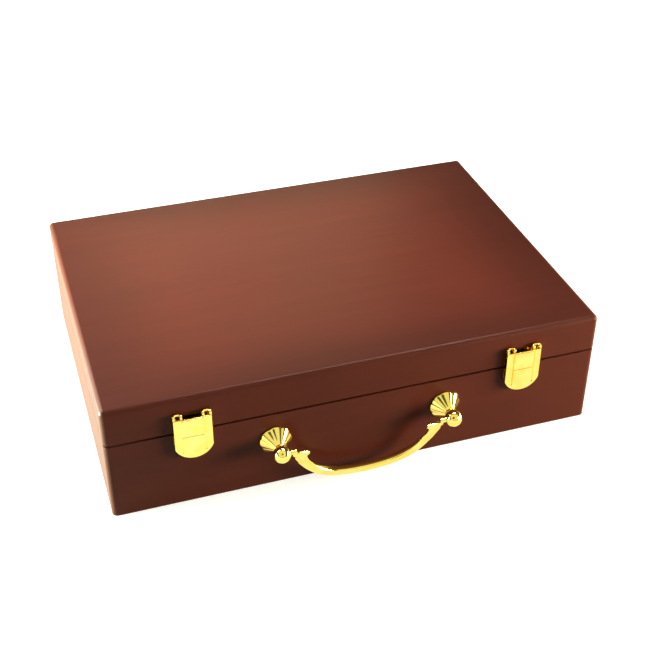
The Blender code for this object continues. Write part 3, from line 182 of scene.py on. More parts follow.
class Dress(Tree):
    """One material under construction: its node tree and its Principled shader."""

    def __init__(self, name: str) -> None:
        """Starts a material.

        Args:
            name: The material's name.
        """
        self.material = bpy.data.materials.new(name)
        self.material.use_nodes = True
        super().__init__(self.material.node_tree)
        self.shader = self.tree.nodes["Principled BSDF"]

    def place(self, stretch: Place = (1.0, 1.0, 1.0), turn: float = 0.0) -> bpy.types.NodeSocket:
        """Reads the object's own coordinates, stretched and turned about Z.

        Args:
            stretch: Scale along each axis.
            turn: Angle about Z, in degrees.

        Returns:
            The coordinates.
        """
        where = self.node("ShaderNodeTexCoord", {}, {}).outputs["Object"]
        rotation = (0.0, 0.0, math.radians(turn))
        inputs = {"Vector": where, "Scale": stretch, "Rotation": rotation}
        return self.node("ShaderNodeMapping", {}, inputs).outputs[0]

    def noise(self, where: object, scale: float, detail: float = 3.0, rough: float = 0.5) -> Value:
        """Returns fractal noise."""
        inputs = {"Vector": where, "Scale": scale, "Detail": detail, "Roughness": rough}
        return Value(self, self.node("ShaderNodeTexNoise", {}, inputs).outputs[0])

    def range(self, value: Value, low: float, high: float, new_low: float, new_high: float) -> Value:
        """Moves a value smoothly from one range to another.

        Args:
            value: What is moved.
            low: Start of its old range.
            high: End of its old range.
            new_low: Start of the new range.
            new_high: End of the new range.

        Returns:
            The moved value.
        """
        settings = {"interpolation_type": "SMOOTHSTEP", "clamp": True}
        inputs = {0: value, 1: low, 2: high, 3: new_low, 4: new_high}
        return Value(self, self.node("ShaderNodeMapRange", settings, inputs).outputs[0])

    def blend(self, share: object, first: object, second: object, how: str = "MIX") -> bpy.types.NodeSocket:
        """Returns a mix of two colours."""
        settings = {"data_type": "RGBA", "blend_type": how}
        return self.node("ShaderNodeMix", settings, {0: share, 6: first, 7: second}).outputs[2]

    def relief(self, height: Value, depth: float, strength: float) -> None:
        """Feeds a bump to the shader's normal."""
        inputs = {"Height": height, "Distance": depth, "Strength": strength}
        self.join(self.shader.inputs["Normal"], self.node("ShaderNodeBump", {}, inputs).outputs[0])

    def set(self, **inputs: object) -> None:
        """Sets the shader's sockets. An underscore in a name stands for a space."""
        for key, value in inputs.items():
            self.join(self.shader.inputs[key.replace("_", " ")], value)


@dataclass(frozen=True)
class Grain:
    """Noise drawn out along a board: its stretch along and across, its scale, detail and roughness."""

    stretch: Pair
    scale: float
    detail: float
    rough: float

    def on(self, dress: Dress, end_wall: Value) -> Value:
        """Lays the grain along X, and along Y on the end walls.

        Args:
            dress: The material.
            end_wall: 1 on the end walls and 0 elsewhere.

        Returns:
            The noise.
        """
        along, across = self.stretch
        on_x = dress.noise(dress.place((along, across, across)), self.scale, self.detail, self.rough)
        on_y = dress.noise(dress.place((across, along, across)), self.scale, self.detail, self.rough)
        return on_x * (1.0 - end_wall) + on_y * end_wall


@dataclass(frozen=True)
class LacqueredMahogany:
    """Red-brown mahogany stain under a satin lacquer, with painted shade that darkens the edges of the top
    and the walls.
    """

    deep: Colour = (0.106, 0.0170, 0.0088)
    warm: Colour = (0.134, 0.0214, 0.0110)
    painted_shade_tint: Colour = (0.60, 0.62, 0.66)
    half_size: Pair = (0.1525, 0.109)
    fade: Pair = (0.52, 1.0)
    fade_softness: float = 0.3
    streaks: Grain = Grain((1.2, 16.0), 7.0, 4.0, 0.55)
    streak_share: float = 0.35
    cloud: float = 9.0
    pore: Colour = (0.050, 0.0080, 0.0040)
    pores: Grain = Grain((0.5, 14.0), 160.0, 2.0, 0.5)
    pore_share: float = 0.15
    roughness: Pair = (0.42, 0.50)
    specular: float = 0.06
    coat: float = 0.10
    coat_roughness: float = 0.25
    swell: float = 420.0
    relief: Pair = (0.00003, 0.25)

    def material(self) -> bpy.types.Material:
        """Makes the material, with the grain running along each board.

        Returns:
            The material.
        """
        dress = Dress("lacquered_mahogany")
        facing = dress.node("ShaderNodeTexCoord", {}, {}).outputs["Normal"]
        end_wall = Value(dress, dress.node("ShaderNodeSeparateXYZ", {}, {0: facing}).outputs[0])
        end_wall = end_wall * end_wall > 0.5
        cloud = dress.noise(dress.place(), self.cloud, 2.0)
        figure = self.streaks.on(dress, end_wall) * self.streak_share + cloud * (1.0 - self.streak_share)
        pores = dress.range(self.pores.on(dress, end_wall), 0.56, 0.72, 0.0, self.pore_share)
        colour = dress.blend(dress.range(figure, 0.25, 0.75, 0.0, 1.0), self.deep, self.warm)
        colour = dress.blend(pores, colour, self.pore)
        # Painted shade: the wood colour is multiplied darker at the edges of the top and on the walls, in
        # place of light falling off there.
        painted_shade_colour = dress.blend(1.0, colour, self.painted_shade_tint, "MULTIPLY")
        dress.set(Base_Color=dress.blend(self._painted_shade_mask(dress), colour, painted_shade_colour))
        dress.set(Roughness=dress.range(cloud, 0.3, 0.7, *self.roughness))
        dress.set(Specular_IOR_Level=self.specular, Coat_Weight=self.coat, Coat_Roughness=self.coat_roughness)
        dress.relief(dress.noise(dress.place(), self.swell, 1.0) * 0.5 - pores, *self.relief)
        return dress.material

    def _painted_shade_mask(self, dress: Dress) -> Value:
        """Finds where painted shade darkens the colour: the edges of the top and the walls.

        Args:
            dress: The material.

        Returns:
            0 in the middle of the top, and 1 at its edges and on the walls.
        """
        parts = dress.node("ShaderNodeSeparateXYZ", {}, {0: dress.place()})
        across, along = (
            abs(Value(dress, socket) * (1.0 / half)) for socket, half in zip(parts.outputs, self.half_size)
        )
        return dress.range(across.most(along, self.fade_softness), *self.fade, 0.0, 1.0)


@dataclass(frozen=True)
class PolishedGold:
    """Bright gold plate, polished, with faint wiping marks."""

    bright: Colour = (1.0, 0.79, 0.25)
    deep: Colour = (0.98, 0.72, 0.18)
    cloud: float = 130.0
    wipes: float = 2600.0
    wipe_stretch: Place = (1.0, 1.0, 0.08)
    roughness: Pair = (0.045, 0.10)
    relief: Pair = (0.000004, 0.12)

    def material(self) -> bpy.types.Material:
        """Makes the material.

        Returns:
            The material.
        """
        dress = Dress("polished_gold")
        cloud = dress.noise(dress.place(), self.cloud, 2.0)
        wipes = dress.noise(dress.place(self.wipe_stretch), self.wipes, 2.0)
        dress.set(Base_Color=dress.blend(dress.range(cloud, 0.35, 0.65, 0.0, 1.0), self.bright, self.deep))
        dress.set(Roughness=dress.range(cloud * 0.6 + wipes * 0.4, 0.3, 0.7, *self.roughness), Metallic=1.0)
        dress.relief(wipes, *self.relief)
        return dress.material


@dataclass(frozen=True)
class ShortPile:
    """Green pile fabric or flocking, with fibres and brushed patches."""

    name: str
    dark: Colour
    light: Colour
    fibre: float
    patch: float
    sheen: float
    depth: float
    tint: Colour = (0.35, 0.75, 0.5)
    roughness: Pair = (0.82, 0.97)
    nap: float = 25.0

    def material(self) -> bpy.types.Material:
        """Makes the material.

        Returns:
            The material.
        """
        dress = Dress(self.name)
        fibres = dress.noise(dress.place(), self.fibre, 2.0, 0.7)
        brushed = dress.noise(dress.place((1.0, 2.2, 1.0), self.nap), self.patch, 3.0)
        tone = dress.range(fibres * 0.6 + brushed * 0.4, 0.35, 0.65, 0.0, 1.0)
        dress.set(Base_Color=dress.blend(tone, self.dark, self.light))
        dress.set(Roughness=dress.range(brushed, 0.3, 0.7, *self.roughness), Specular_IOR_Level=0.15)
        dress.set(Sheen_Weight=self.sheen, Sheen_Roughness=0.45, Sheen_Tint=self.tint)
        dress.relief(fibres, self.depth, 0.7)
        return dress.material


@dataclass(frozen=True)
class StainedBoard:
    """The bottom board's matt stain over fine, short grain."""

    deep: Colour = (0.045, 0.012, 0.006)
    warm: Colour = (0.085, 0.024, 0.012)
    roughness: Pair = (0.50, 0.66)
    specular: float = 0.25
    relief: Pair = (0.00008, 0.35)

    def material(self) -> bpy.types.Material:
        """Makes the material.

        Returns:
            The material.
        """
        dress = Dress("stained_board")
        grain = dress.noise(dress.place((1.0, 22.0, 22.0)), 14.0, 5.0, 0.6)
        fleck = dress.noise(dress.place((3.0, 30.0, 30.0)), 60.0, 3.0)
        tone = dress.range(grain * 0.7 + fleck * 0.3, 0.36, 0.64, 0.0, 1.0)
        dress.set(Base_Color=dress.blend(tone, self.deep, self.warm), Specular_IOR_Level=self.specular)
        dress.set(Roughness=dress.range(grain, 0.3, 0.7, *self.roughness))
        dress.relief(grain, *self.relief)
        return dress.material


@dataclass(frozen=True)
class ZincPlate:
    """Dull zinc plate on the nuts and washers."""

    light: Colour = (0.62, 0.62, 0.58)
    dark: Colour = (0.44, 0.44, 0.42)
    roughness: Pair = (0.26, 0.42)
    relief: Pair = (0.00001, 0.3)

    def material(self) -> bpy.types.Material:
        """Makes the material.

        Returns:
            The material.
        """
        dress = Dress("zinc_plate")
        spangle = dress.noise(dress.place(), 900.0, 3.0)
        dress.set(Base_Color=dress.blend(dress.range(spangle, 0.35, 0.65, 0.0, 1.0), self.dark, self.light))
        dress.set(Metallic=1.0, Roughness=dress.range(spangle, 0.3, 0.7, *self.roughness))
        dress.relief(spangle, *self.relief)
        return dress.material


# Modelling tools.


class Axis(Enum):
    """The direction that a round piece runs in, with the turn that lays a primitive along it."""

    X = ((1.0, 0.0, 0.0), (0.0, math.pi / 2, 0.0))
    Y = ((0.0, 1.0, 0.0), (-math.pi / 2, 0.0, 0.0))
    Z = ((0.0, 0.0, 1.0), (0.0, 0.0, 0.0))

    @property
    def way(self) -> Vector:
        """The unit vector along the axis."""
        return Vector(self.value[0])

    @property
    def turn(self) -> Place:
        """The Euler angles of the primitive."""
        return self.value[1]


class Joinery(Enum):
    """How one solid meets another."""

    CUT = "DIFFERENCE"
    WELD = "UNION"


class Part(Enum):
    """What is picked in edit mode."""

    VERT = "verts"
    EDGE = "edges"
    FACE = "faces"


class Edit:
    """Edit mode on one piece, with picking by place."""

    def __init__(self, obj: bpy.types.Object) -> None:
        """Keeps the piece."""
        self.obj = obj

    def __enter__(self) -> Edit:
        """Opens edit mode with nothing picked.

        Returns:
            This editor.
        """
        only(self.obj)
        bpy.ops.object.mode_set(mode="EDIT")
        bpy.ops.mesh.select_all(action="DESELECT")
        return self

    def __exit__(self, *_: object) -> None:
        """Leaves edit mode."""
        bpy.ops.object.mode_set(mode="OBJECT")

    def _pick(self, part: Part, test: Callable[[object], bool], add: bool) -> Edit:
        """Selects the parts that pass a test.

        Args:
            part: Vertices, edges or faces.
            test: Says whether one is picked.
            add: Keep what is picked already.

        Returns:
            This editor.
        """
        bpy.ops.mesh.select_mode(type=part.name)
        if not add:
            bpy.ops.mesh.select_all(action="DESELECT")
        mesh = bmesh.from_edit_mesh(self.obj.data)
        for item in getattr(mesh, part.value):
            if test(item):
                item.select_set(True)
        mesh.select_flush_mode()
        bmesh.update_edit_mesh(self.obj.data)
        return self

    def verts(self, test: PointTest, add: bool = False) -> Edit:
        """Picks vertices by their place."""
        return self._pick(Part.VERT, lambda vert: test(vert.co), add)

    def edges(self, test: Callable[[Vector, Vector], bool], add: bool = False) -> Edit:
        """Picks edges by their two ends."""
        return self._pick(Part.EDGE, lambda edge: test(edge.verts[0].co, edge.verts[1].co), add)

    def faces(self, test: Callable[[Vector, Vector], bool], add: bool = False) -> Edit:
        """Picks faces by their middle and normal."""
        return self._pick(Part.FACE, lambda face: test(face.calc_center_median(), face.normal), add)

    def all(self) -> Edit:
        """Picks everything."""
        bpy.ops.mesh.select_all(action="SELECT")
        return self

    def inset(self, width: float) -> Edit:
        """Insets the picked faces."""
        bpy.ops.mesh.inset(thickness=width, use_even_offset=True)
        return self

    def extrude(self, by: Sequence[float]) -> Edit:
        """Extrudes the picked faces."""
        bpy.ops.mesh.extrude_region_move(TRANSFORM_OT_translate={"value": tuple(by)})
        return self

    def move(self, by: Sequence[float]) -> Edit:
        """Moves what is picked."""
        bpy.ops.transform.translate(value=tuple(by))
        return self

    def resize(self, by: Sequence[float], about: Sequence[float]) -> Edit:
        """Scales what is picked."""
        bpy.ops.transform.resize(value=tuple(by), center_override=tuple(about))
        return self

    def turn(self, angle: float, axis: Axis, about: Sequence[float]) -> Edit:
        """Turns what is picked, right-handed about an axis."""
        bpy.ops.transform.rotate(value=-angle, orient_axis=axis.name, center_override=tuple(about))
        return self

    def bevel(self, width: float, steps: int = 3) -> Edit:
        """Rounds the picked edges."""
        bpy.ops.mesh.bevel(offset=width, segments=steps, profile=0.5, affect="EDGES", clamp_overlap=True)
        return self

    def tidy(self) -> Edit:
        """Merges doubles and points all faces outwards.

        Returns:
            This editor.
        """
        self.all()
        bpy.ops.mesh.remove_doubles(threshold=HAIR)
        bpy.ops.mesh.select_all(action="SELECT")
        bpy.ops.mesh.normals_make_consistent(inside=False)
        return self


def only(obj: bpy.types.Object) -> None:
    """Selects one object and nothing else.

    Args:
        obj: The object.
    """
    bpy.ops.object.select_all(action="DESELECT")
    obj.select_set(True)
    bpy.context.view_layer.objects.active = obj


def settle(name: str) -> bpy.types.Object:
    """Names the newest object and puts its place into its mesh.

    Args:
        name: The piece's name.

    Returns:
        The object.
    """
    obj = bpy.context.object
    obj.name = name
    obj.data.name = name
    only(obj)
    bpy.ops.object.transform_apply(location=True, rotation=True, scale=True)
    return obj


def block(name: str, low: Sequence[float], high: Sequence[float]) -> bpy.types.Object:
    """Adds a block between two corners.

    Args:
        name: The piece's name.
        low: Its lowest corner.
        high: Its highest corner.

    Returns:
        The object.
    """
    bpy.ops.object.select_all(action="DESELECT")
    first = Vector(low)
    second = Vector(high)
    bpy.ops.mesh.primitive_cube_add(size=1.0, location=(first + second) / 2, scale=second - first)
    return settle(name)


def turned(
    name: str, profile: Sequence[Pair], centre: Sequence[float], axis: Axis, sides: int = 48
) -> bpy.types.Object:
    """Turns a round piece by drawing a disc out ring by ring.

    Args:
        name: The piece's name.
        profile: (radius, distance along the axis) of each ring.
        centre: Where the distances start from.
        axis: The way it runs.
        sides: Number of sides.

    Returns:
        The object.
    """
    start = Vector(centre) + axis.way * profile[0][1]
    radius = max(profile[0][0], HAIR)
    bpy.ops.object.select_all(action="DESELECT")
    bpy.ops.mesh.primitive_circle_add(
        vertices=sides, radius=radius, fill_type="NGON", location=start, rotation=axis.turn
    )
    obj = settle(name)
    with Edit(obj) as edit:
        edit.all()
        for (_, along), (wanted, onward) in zip(profile, profile[1:]):
            edit.extrude(axis.way * (onward - along))
            wanted = max(wanted, HAIR)
            scale = wanted / radius
            edit.resize((scale, scale, scale), Vector(centre) + axis.way * onward)
            radius = wanted
        edit.all()
        bpy.ops.mesh.remove_doubles(threshold=3 * HAIR)
        bpy.ops.mesh.normals_make_consistent(inside=False)
    return obj


def rod(
    name: str,
    centre: Sequence[float],
    radius: float,
    start: float,
    end: float,
    axis: Axis,
    sides: int = 48,
    chamfer: float = 0.0,
) -> bpy.types.Object:
    """Adds a round rod, with its ends eased if asked.

    Args:
        name: The piece's name.
        centre: A point on its axis.
        radius: Its radius.
        start: Distance of its first end from the centre.
        end: Distance of its second end.
        axis: The way it runs.
        sides: Number of sides.
        chamfer: Size of the easing at both ends.

    Returns:
        The object.
    """
    profile = [(radius, start), (radius, end)]
    if chamfer:
        inner = radius - chamfer
        profile = [(inner, start), (radius, start + chamfer), (radius, end - chamfer), (inner, end)]
    return turned(name, profile, centre, axis, sides)


def plate(name: str, outline: Sequence[Vector], depth: Sequence[float]) -> bpy.types.Object:
    """Adds a plate: a disc whose rim points are moved to an outline, then drawn out.

    Args:
        name: The piece's name.
        outline: The rim's points in order.
        depth: How far and which way it is drawn out.

    Returns:
        The object.
    """
    bpy.ops.object.select_all(action="DESELECT")
    bpy.ops.mesh.primitive_circle_add(vertices=len(outline), radius=1.0, fill_type="NGON")
    obj = settle(name)
    starts = [vert.co.copy() for vert in obj.data.vertices]
    with Edit(obj) as edit:
        for start, point in zip(starts, outline):
            edit.verts(lambda place: (place - start).length < NEAR).move(Vector(point) - start)
        edit.all().extrude(depth)
        edit.tidy()
    return obj


def twin(obj: bpy.types.Object, name: str, by: Sequence[float], mirrored: bool = False) -> bpy.types.Object:
    """Copies a piece, with its own mesh.

    Args:
        obj: The piece.
        name: The copy's name.
        by: How far the copy is moved.
        mirrored: Turn the copy left for right about the case's middle first.

    Returns:
        The copy.
    """
    only(obj)
    bpy.ops.object.duplicate(linked=False)
    copy = settle(name)
    with Edit(copy) as edit:
        edit.all()
        if mirrored:
            edit.resize((-1.0, 1.0, 1.0), (0.0, 0.0, 0.0))
            bpy.ops.mesh.normals_make_consistent(inside=False)
        edit.move(by)
    return copy


def combine(target: bpy.types.Object, how: Joinery, tools: Sequence[bpy.types.Object]) -> bpy.types.Object:
    """Cuts or welds tools into a piece.

    Args:
        target: The piece.
        how: Cut or weld.
        tools: The tools, which are used up.

    Returns:
        The piece.
    """
    for tool in tools:
        modifier = target.modifiers.new("joinery", "BOOLEAN")
        modifier.operation = how.value
        modifier.solver = "EXACT"
        modifier.object = tool
        only(target)
        bpy.ops.object.modifier_apply(modifier=modifier.name)
        mesh = tool.data
        bpy.data.objects.remove(tool)
        bpy.data.meshes.remove(mesh)
    return target


def ease(obj: bpy.types.Object, width: float, steps: int = 2, angle: float = 40.0) -> bpy.types.Object:
    """Eases every sharp edge.

    Args:
        obj: The piece.
        width: The rounding's radius.
        steps: Number of flats in it.
        angle: Least angle of a sharp edge, in degrees.

    Returns:
        The piece.
    """
    modifier = obj.modifiers.new("ease", "BEVEL")
    modifier.width = width
    modifier.segments = steps
    modifier.limit_method = "ANGLE"
    modifier.angle_limit = math.radians(angle)
    modifier.miter_outer = "MITER_ARC"
    only(obj)
    bpy.ops.object.modifier_apply(modifier=modifier.name)
    return obj


def arc(centre: Pair, radius: float, start: float, end: float, steps: int) -> list[Pair]:
    """Returns points of an arc."""
    angles = [math.radians(start + (end - start) * step / steps) for step in range(steps + 1)]
    return [(centre[0] + radius * math.cos(a), centre[1] + radius * math.sin(a)) for a in angles]


@dataclass
class Finishes:
    """Every finish of the case, made once."""

    mahogany: bpy.types.Material = field(default_factory=lambda: LacqueredMahogany().material())
    gold: bpy.types.Material = field(default_factory=lambda: PolishedGold().material())
    board: bpy.types.Material = field(default_factory=lambda: StainedBoard().material())
    zinc: bpy.types.Material = field(default_factory=lambda: ZincPlate().material())
    velvet: bpy.types.Material = field(
        default_factory=lambda: ShortPile(
            "green_velvet", (0.004, 0.030, 0.016), (0.012, 0.075, 0.042), 2600.0, 40.0, 0.6, 0.0002
        ).material()
    )
    flock: bpy.types.Material = field(
        default_factory=lambda: ShortPile(
            "green_flocking", (0.005, 0.026, 0.014), (0.014, 0.062, 0.036), 4200.0, 28.0, 0.4, 0.00012
        ).material()
    )


def hand_over(
    obj: bpy.types.Object, node: str, material: bpy.types.Material, angle: float = 30.0, even: bool = True
) -> bpy.types.Object:
    """Dresses a finished piece and puts it in its node's place.

    Args:
        obj: The piece.
        node: The node that it stands for.
        material: Its finish.
        angle: Edges sharper than this stay sharp, in degrees.
        even: Keep broad faces flat in their shading.

    Returns:
        The piece.
    """
    obj.name = f"{node}_fine"
    obj.data.name = obj.name
    obj.data.materials.clear()
    obj.data.materials.append(material)
    only(obj)
    bpy.ops.object.shade_smooth_by_angle(angle=math.radians(angle))
    if even:
        modifier = obj.modifiers.new("even", "WEIGHTED_NORMAL")
        modifier.keep_sharp = True
        bpy.ops.object.modifier_apply(modifier=modifier.name)
    cad = frame["nodes"][node]
    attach(obj, cad["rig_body"])
    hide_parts(node)
    LOG.info("%s stands for %s: %d faces", obj.name, node, len(obj.data.polygons))
    return obj


# The wooden shells.


@dataclass
class WoodBoxes:
    """The lid and the base: solid walls with rounded outer edges, hollowed as a joiner would."""

    finishes: Finishes
    wall: float = 0.009
    top: float = 0.0053
    rounding: float = 0.0032
    foot: float = 0.0012
    rims: Pair = (0.0006, 0.0009)
    shadow_gap: Pair = (0.0003, 0.0005)
    inner: float = 0.0010
    ledge: float = 0.0045
    rebate: float = 0.0050
    hinge_x: float = 0.095
    mortise: Pair = (0.0202, 0.0080)
    mortise_depth: float = 0.0013
    screw_x: float = 0.0130
    screw_bore: Pair = (0.00102, 0.0080)
    latch_x: float = 0.102
    nail_x: float = 0.0070
    nail_bore: Pair = (0.0007, 0.0060)
    stud_x: float = 0.0535
    stud_bore: float = 0.0016
    pocket: Pair = (0.0050, 0.0042)

    def build(self) -> None:
        """Builds the lid and the base."""
        self._lid()
        self._base()

    def _lid(self) -> None:
        """Builds the lid."""
        low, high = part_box("lid_shell")
        low.z += self.shadow_gap[0]
        lid = block("lid", low, high)
        inside_x = high.x - self.wall + NEAR
        inside_y = high.y - self.wall + NEAR
        ceiling = high.z - self.top
        with Edit(lid) as edit:
            edit.faces(lambda place, way: way.z < -FACING).inset(self.wall)
            edit.extrude((0.0, 0.0, ceiling - low.z))
            edit.edges(lambda a, b: upright(a, b) and abs(a.x) > inside_x)
            edit.edges(lambda a, b: min(a.z, b.z) > high.z - NEAR, add=True).bevel(self.rounding, 8)
            edit.edges(lambda a, b: upright(a, b) and within(a, inside_x, inside_y))
            edit.edges(lambda a, b: level_with(a, b, ceiling), add=True)
            edit.bevel(self.inner, 3)
            self._rims(edit, low.z, inside_x, inside_y, self.rims[0])
            edit.tidy()
        tools = self._mortises(low.z, 1)
        tools += self._nail_holes(low.y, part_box("latch_left_lid_nail_1"))
        combine(lid, Joinery.CUT, tools)
        hand_over(lid, "lid_shell", self.finishes.mahogany)

    def _base(self) -> None:
        """Builds the base: two hollows, from above and from below, that meet at a ledge."""
        low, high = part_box("base_shell")
        high.z -= self.shadow_gap[1]
        base = block("base", low, high)
        inside_x = high.x - self.wall + NEAR
        inside_y = high.y - self.wall + NEAR
        with Edit(base) as edit:
            edit.faces(lambda place, way: way.z > FACING).inset(self.wall)
            edit.extrude((0.0, 0.0, self.ledge - high.z))
            edit.faces(lambda place, way: way.z < -FACING).inset(self.rebate)
            edit.extrude((0.0, 0.0, self.ledge))
            edit.faces(lambda place, way: abs(place.z - self.ledge) < NEAR)
            bpy.ops.mesh.delete(type="ONLY_FACE")
            edit.edges(lambda a, b: level_with(a, b, self.ledge))
            bpy.ops.mesh.bridge_edge_loops()
            edit.edges(lambda a, b: upright(a, b) and abs(a.x) > high.x - NEAR).bevel(self.rounding, 8)
            edit.edges(lambda a, b: upright(a, b) and within(a, inside_x, inside_y) and a.z + b.z > high.z)
            edit.bevel(self.inner, 3)
            edge = high.x - self.rounding - NEAR
            side = high.y - self.rounding - NEAR
            edit.edges(
                lambda a, b: level_with(a, b, 0.0) and not (within(a, edge, side) or within(b, edge, side))
            )
            edit.bevel(self.foot, 4)
            self._rims(edit, high.z, inside_x, inside_y, self.rims[1])
            edit.tidy()
        tools = self._mortises(high.z, -1)
        tools += self._nail_holes(low.y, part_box("latch_left_base_nail_1"))
        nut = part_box("handle_left_nut")
        height = (nut[0].z + nut[1].z) / 2
        for side in BOTH:
            centre = (side * self.stud_x, low.y, height)
            tools.append(rod("stud_bore", centre, self.stud_bore, -self.wall, 2 * self.wall, Axis.Y, 24))
            radius, depth = self.pocket
            tools.append(rod("pocket", centre, radius, self.wall - depth, 2 * self.wall, Axis.Y, 48))
        combine(base, Joinery.CUT, tools)
        hand_over(base, "base_shell", self.finishes.mahogany)

    def _rims(self, edit: Edit, level: float, inside_x: float, inside_y: float, width: float) -> None:
        """Eases both edges of a rim.

        Args:
            edit: The shell in edit mode.
            level: The rim's height.
            inside_x: Half-width of the hollow.
            inside_y: Half-length of the hollow.
            width: The rounding's radius.
        """
        edge_x = inside_x + self.wall - self.rounding - 3 * NEAR
        edge_y = inside_y + self.wall - self.rounding - 3 * NEAR

        def outer(place: Vector) -> bool:
            """Says whether a point is on the rim's outer edge."""
            return not within(place, edge_x, edge_y)

        def inner(place: Vector) -> bool:
            """Says whether a point is on the rim's inner edge."""
            return within(place, inside_x, inside_y)

        edit.edges(
            lambda a, b: level_with(a, b, level) and ((outer(a) and outer(b)) or (inner(a) and inner(b)))
        )
        edit.bevel(width, 4)

    def _mortises(self, rim: float, side: int) -> list[bpy.types.Object]:
        """Makes the cutters for both hinges.

        Args:
            rim: The rim's height.
            side: 1 for the lid and -1 for the base.

        Returns:
            The cutters.
        """
        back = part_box("lid_shell")[1].y
        half, reach = self.mortise
        bore, length = self.screw_bore
        tools = []
        for hinge in BOTH:
            x = hinge * self.hinge_x
            ends = sorted((rim + side * self.mortise_depth, rim - side * self.mortise_depth))
            low = (x - half, back - reach, ends[0])
            tools.append(block("mortise", low, (x + half, back + reach, ends[1])))
            for screw in BOTH:
                centre = (x + screw * self.screw_x, back - self.wall / 2, rim)
                span = sorted((side * self.mortise_depth / 2, side * length))
                tools.append(rod("screw_bore", centre, bore, span[0], span[1], Axis.Z, 24))
        return tools

    def _nail_holes(self, front: float, nail: tuple[Vector, Vector]) -> list[bpy.types.Object]:
        """Makes the cutters for the latch nails of one shell.

        Args:
            front: Where the front face is.
            nail: The box of one nail.

        Returns:
            The cutters.
        """
        height = (nail[0].z + nail[1].z) / 2
        bore, depth = self.nail_bore
        places = [latch * self.latch_x + end * self.nail_x for latch in BOTH for end in BOTH]
        return [rod("nail_bore", (x, front, height), bore, -depth, depth, Axis.Y, 16) for x in places]


def upright(a: Vector, b: Vector) -> bool:
    """Says whether an edge is vertical."""
    return abs(a.x - b.x) < NEAR and abs(a.y - b.y) < NEAR


def level_with(a: Vector, b: Vector, height: float) -> bool:
    """Says whether both ends of an edge are at one height."""
    return abs(a.z - height) < NEAR and abs(b.z - height) < NEAR


def within(place: Vector, half_x: float, half_y: float) -> bool:
    """Says whether a point lies inside a centred rectangle, seen from above."""
    return abs(place.x) <= half_x and abs(place.y) <= half_y


# Inside the case.


@dataclass
class Inserts:
    """The flocked trays: two for chips and one for cards and dice."""

    finishes: Finishes
    edge: float = 0.0007
    lip: float = 0.0005
    chip_radius: float = 0.0203
    chip_axis: float = 0.0275
    trough_x: Pair = (0.074367, 0.118933)
    section_y: Pair = (0.003233, 0.093233)
    card_x: float = 0.0457
    card_y: Pair = (0.0269, 0.0929)
    card_floor: float = 0.010
    dice_y: float = 0.0201
    dice_floor: float = 0.014
    thumb_radius: float = 0.0095
    thumb_axis: float = 0.0255
    thumb_y: float = 0.0364
    well_corner: float = 0.0016

    def build(self) -> None:
        """Builds the three trays."""
        right = self._blank("chip_tray_right")
        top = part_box("chip_tray_right")[1].z
        tools = [
            self._channel(x, self.chip_radius, self.chip_axis, top, min(end), max(end))
            for x in self.trough_x
            for end in (self.section_y, (-self.section_y[1], -self.section_y[0]))
        ]
        combine(right, Joinery.CUT, tools)
        self._ease_lips(right, top)
        left = twin(right, "chips", (0.0, 0.0, 0.0), mirrored=True)
        hand_over(right, "chip_tray_right", self.finishes.flock)
        hand_over(left, "chip_tray_left", self.finishes.flock)
        centre = self._blank("centre_insert")
        tools = [self._well((-self.dice_y, self.dice_y), self.dice_floor, top)]
        for ends in (self.card_y, (-self.card_y[1], -self.card_y[0])):
            tools.append(self._well(ends, self.card_floor, top))
        tools.append(self._channel(0.0, self.thumb_radius, self.thumb_axis, top, -self.thumb_y, self.thumb_y))
        combine(centre, Joinery.CUT, tools)
        self._ease_lips(centre, top)
        hand_over(centre, "centre_insert", self.finishes.flock)

    def _blank(self, node: str) -> bpy.types.Object:
        """Makes an insert before its wells are cut.

        Args:
            node: The insert.

        Returns:
            The insert.
        """
        blank = block(node, *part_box(node))
        with Edit(blank) as edit:
            edit.all().bevel(self.edge, 3)
        return blank

    @staticmethod
    def _channel(
        x: float, radius: float, level: float, top: float, start: float, end: float
    ) -> bpy.types.Object:
        """Makes a cutter with a round bottom and an open top, along Y.

        Args:
            x: Its middle.
            radius: Its radius.
            level: Height of its centre.
            top: The insert's top.
            start: Its first end.
            end: Its second end.

        Returns:
            The cutter.
        """
        above = top + radius
        points = arc((x, level), radius, 180.0, 360.0, 32) + [(x + radius, above), (x - radius, above)]
        outline = [Vector((px, start, pz)) for px, pz in points]
        return plate("channel", outline, (0.0, end - start, 0.0))

    def _well(self, ends: Pair, floor: float, top: float) -> bpy.types.Object:
        """Makes a cutter for a flat-bottomed well with rounded corners.

        Args:
            ends: Its two ends along Y.
            floor: Height of its floor.
            top: The insert's top.

        Returns:
            The cutter.
        """
        well = block("well", (-self.card_x, ends[0], floor), (self.card_x, ends[1], 2 * top))
        with Edit(well) as edit:
            edit.edges(lambda a, b: upright(a, b) or max(a.z, b.z) < floor + NEAR).bevel(self.well_corner, 4)
        return well

    def _ease_lips(self, insert: bpy.types.Object, top: float) -> None:
        """Eases the upper edges of the wells.

        Args:
            insert: The insert.
            top: Its top.
        """
        low = Vector([min(v.co[i] for v in insert.data.vertices) for i in range(3)])
        high = Vector([max(v.co[i] for v in insert.data.vertices) for i in range(3)])
        inner_x = (low.x + 2 * self.edge, high.x - 2 * self.edge)
        inner_y = high.y - 2 * self.edge

        def is_lip(place: Vector) -> bool:
            """Says whether a point is on a well's upper edge."""
            return place.z > top - NEAR and inner_x[0] < place.x < inner_x[1] and abs(place.y) < inner_y

        with Edit(insert) as edit:
            edit.edges(lambda a, b: is_lip(a) and is_lip(b)).bevel(self.lip, 2)


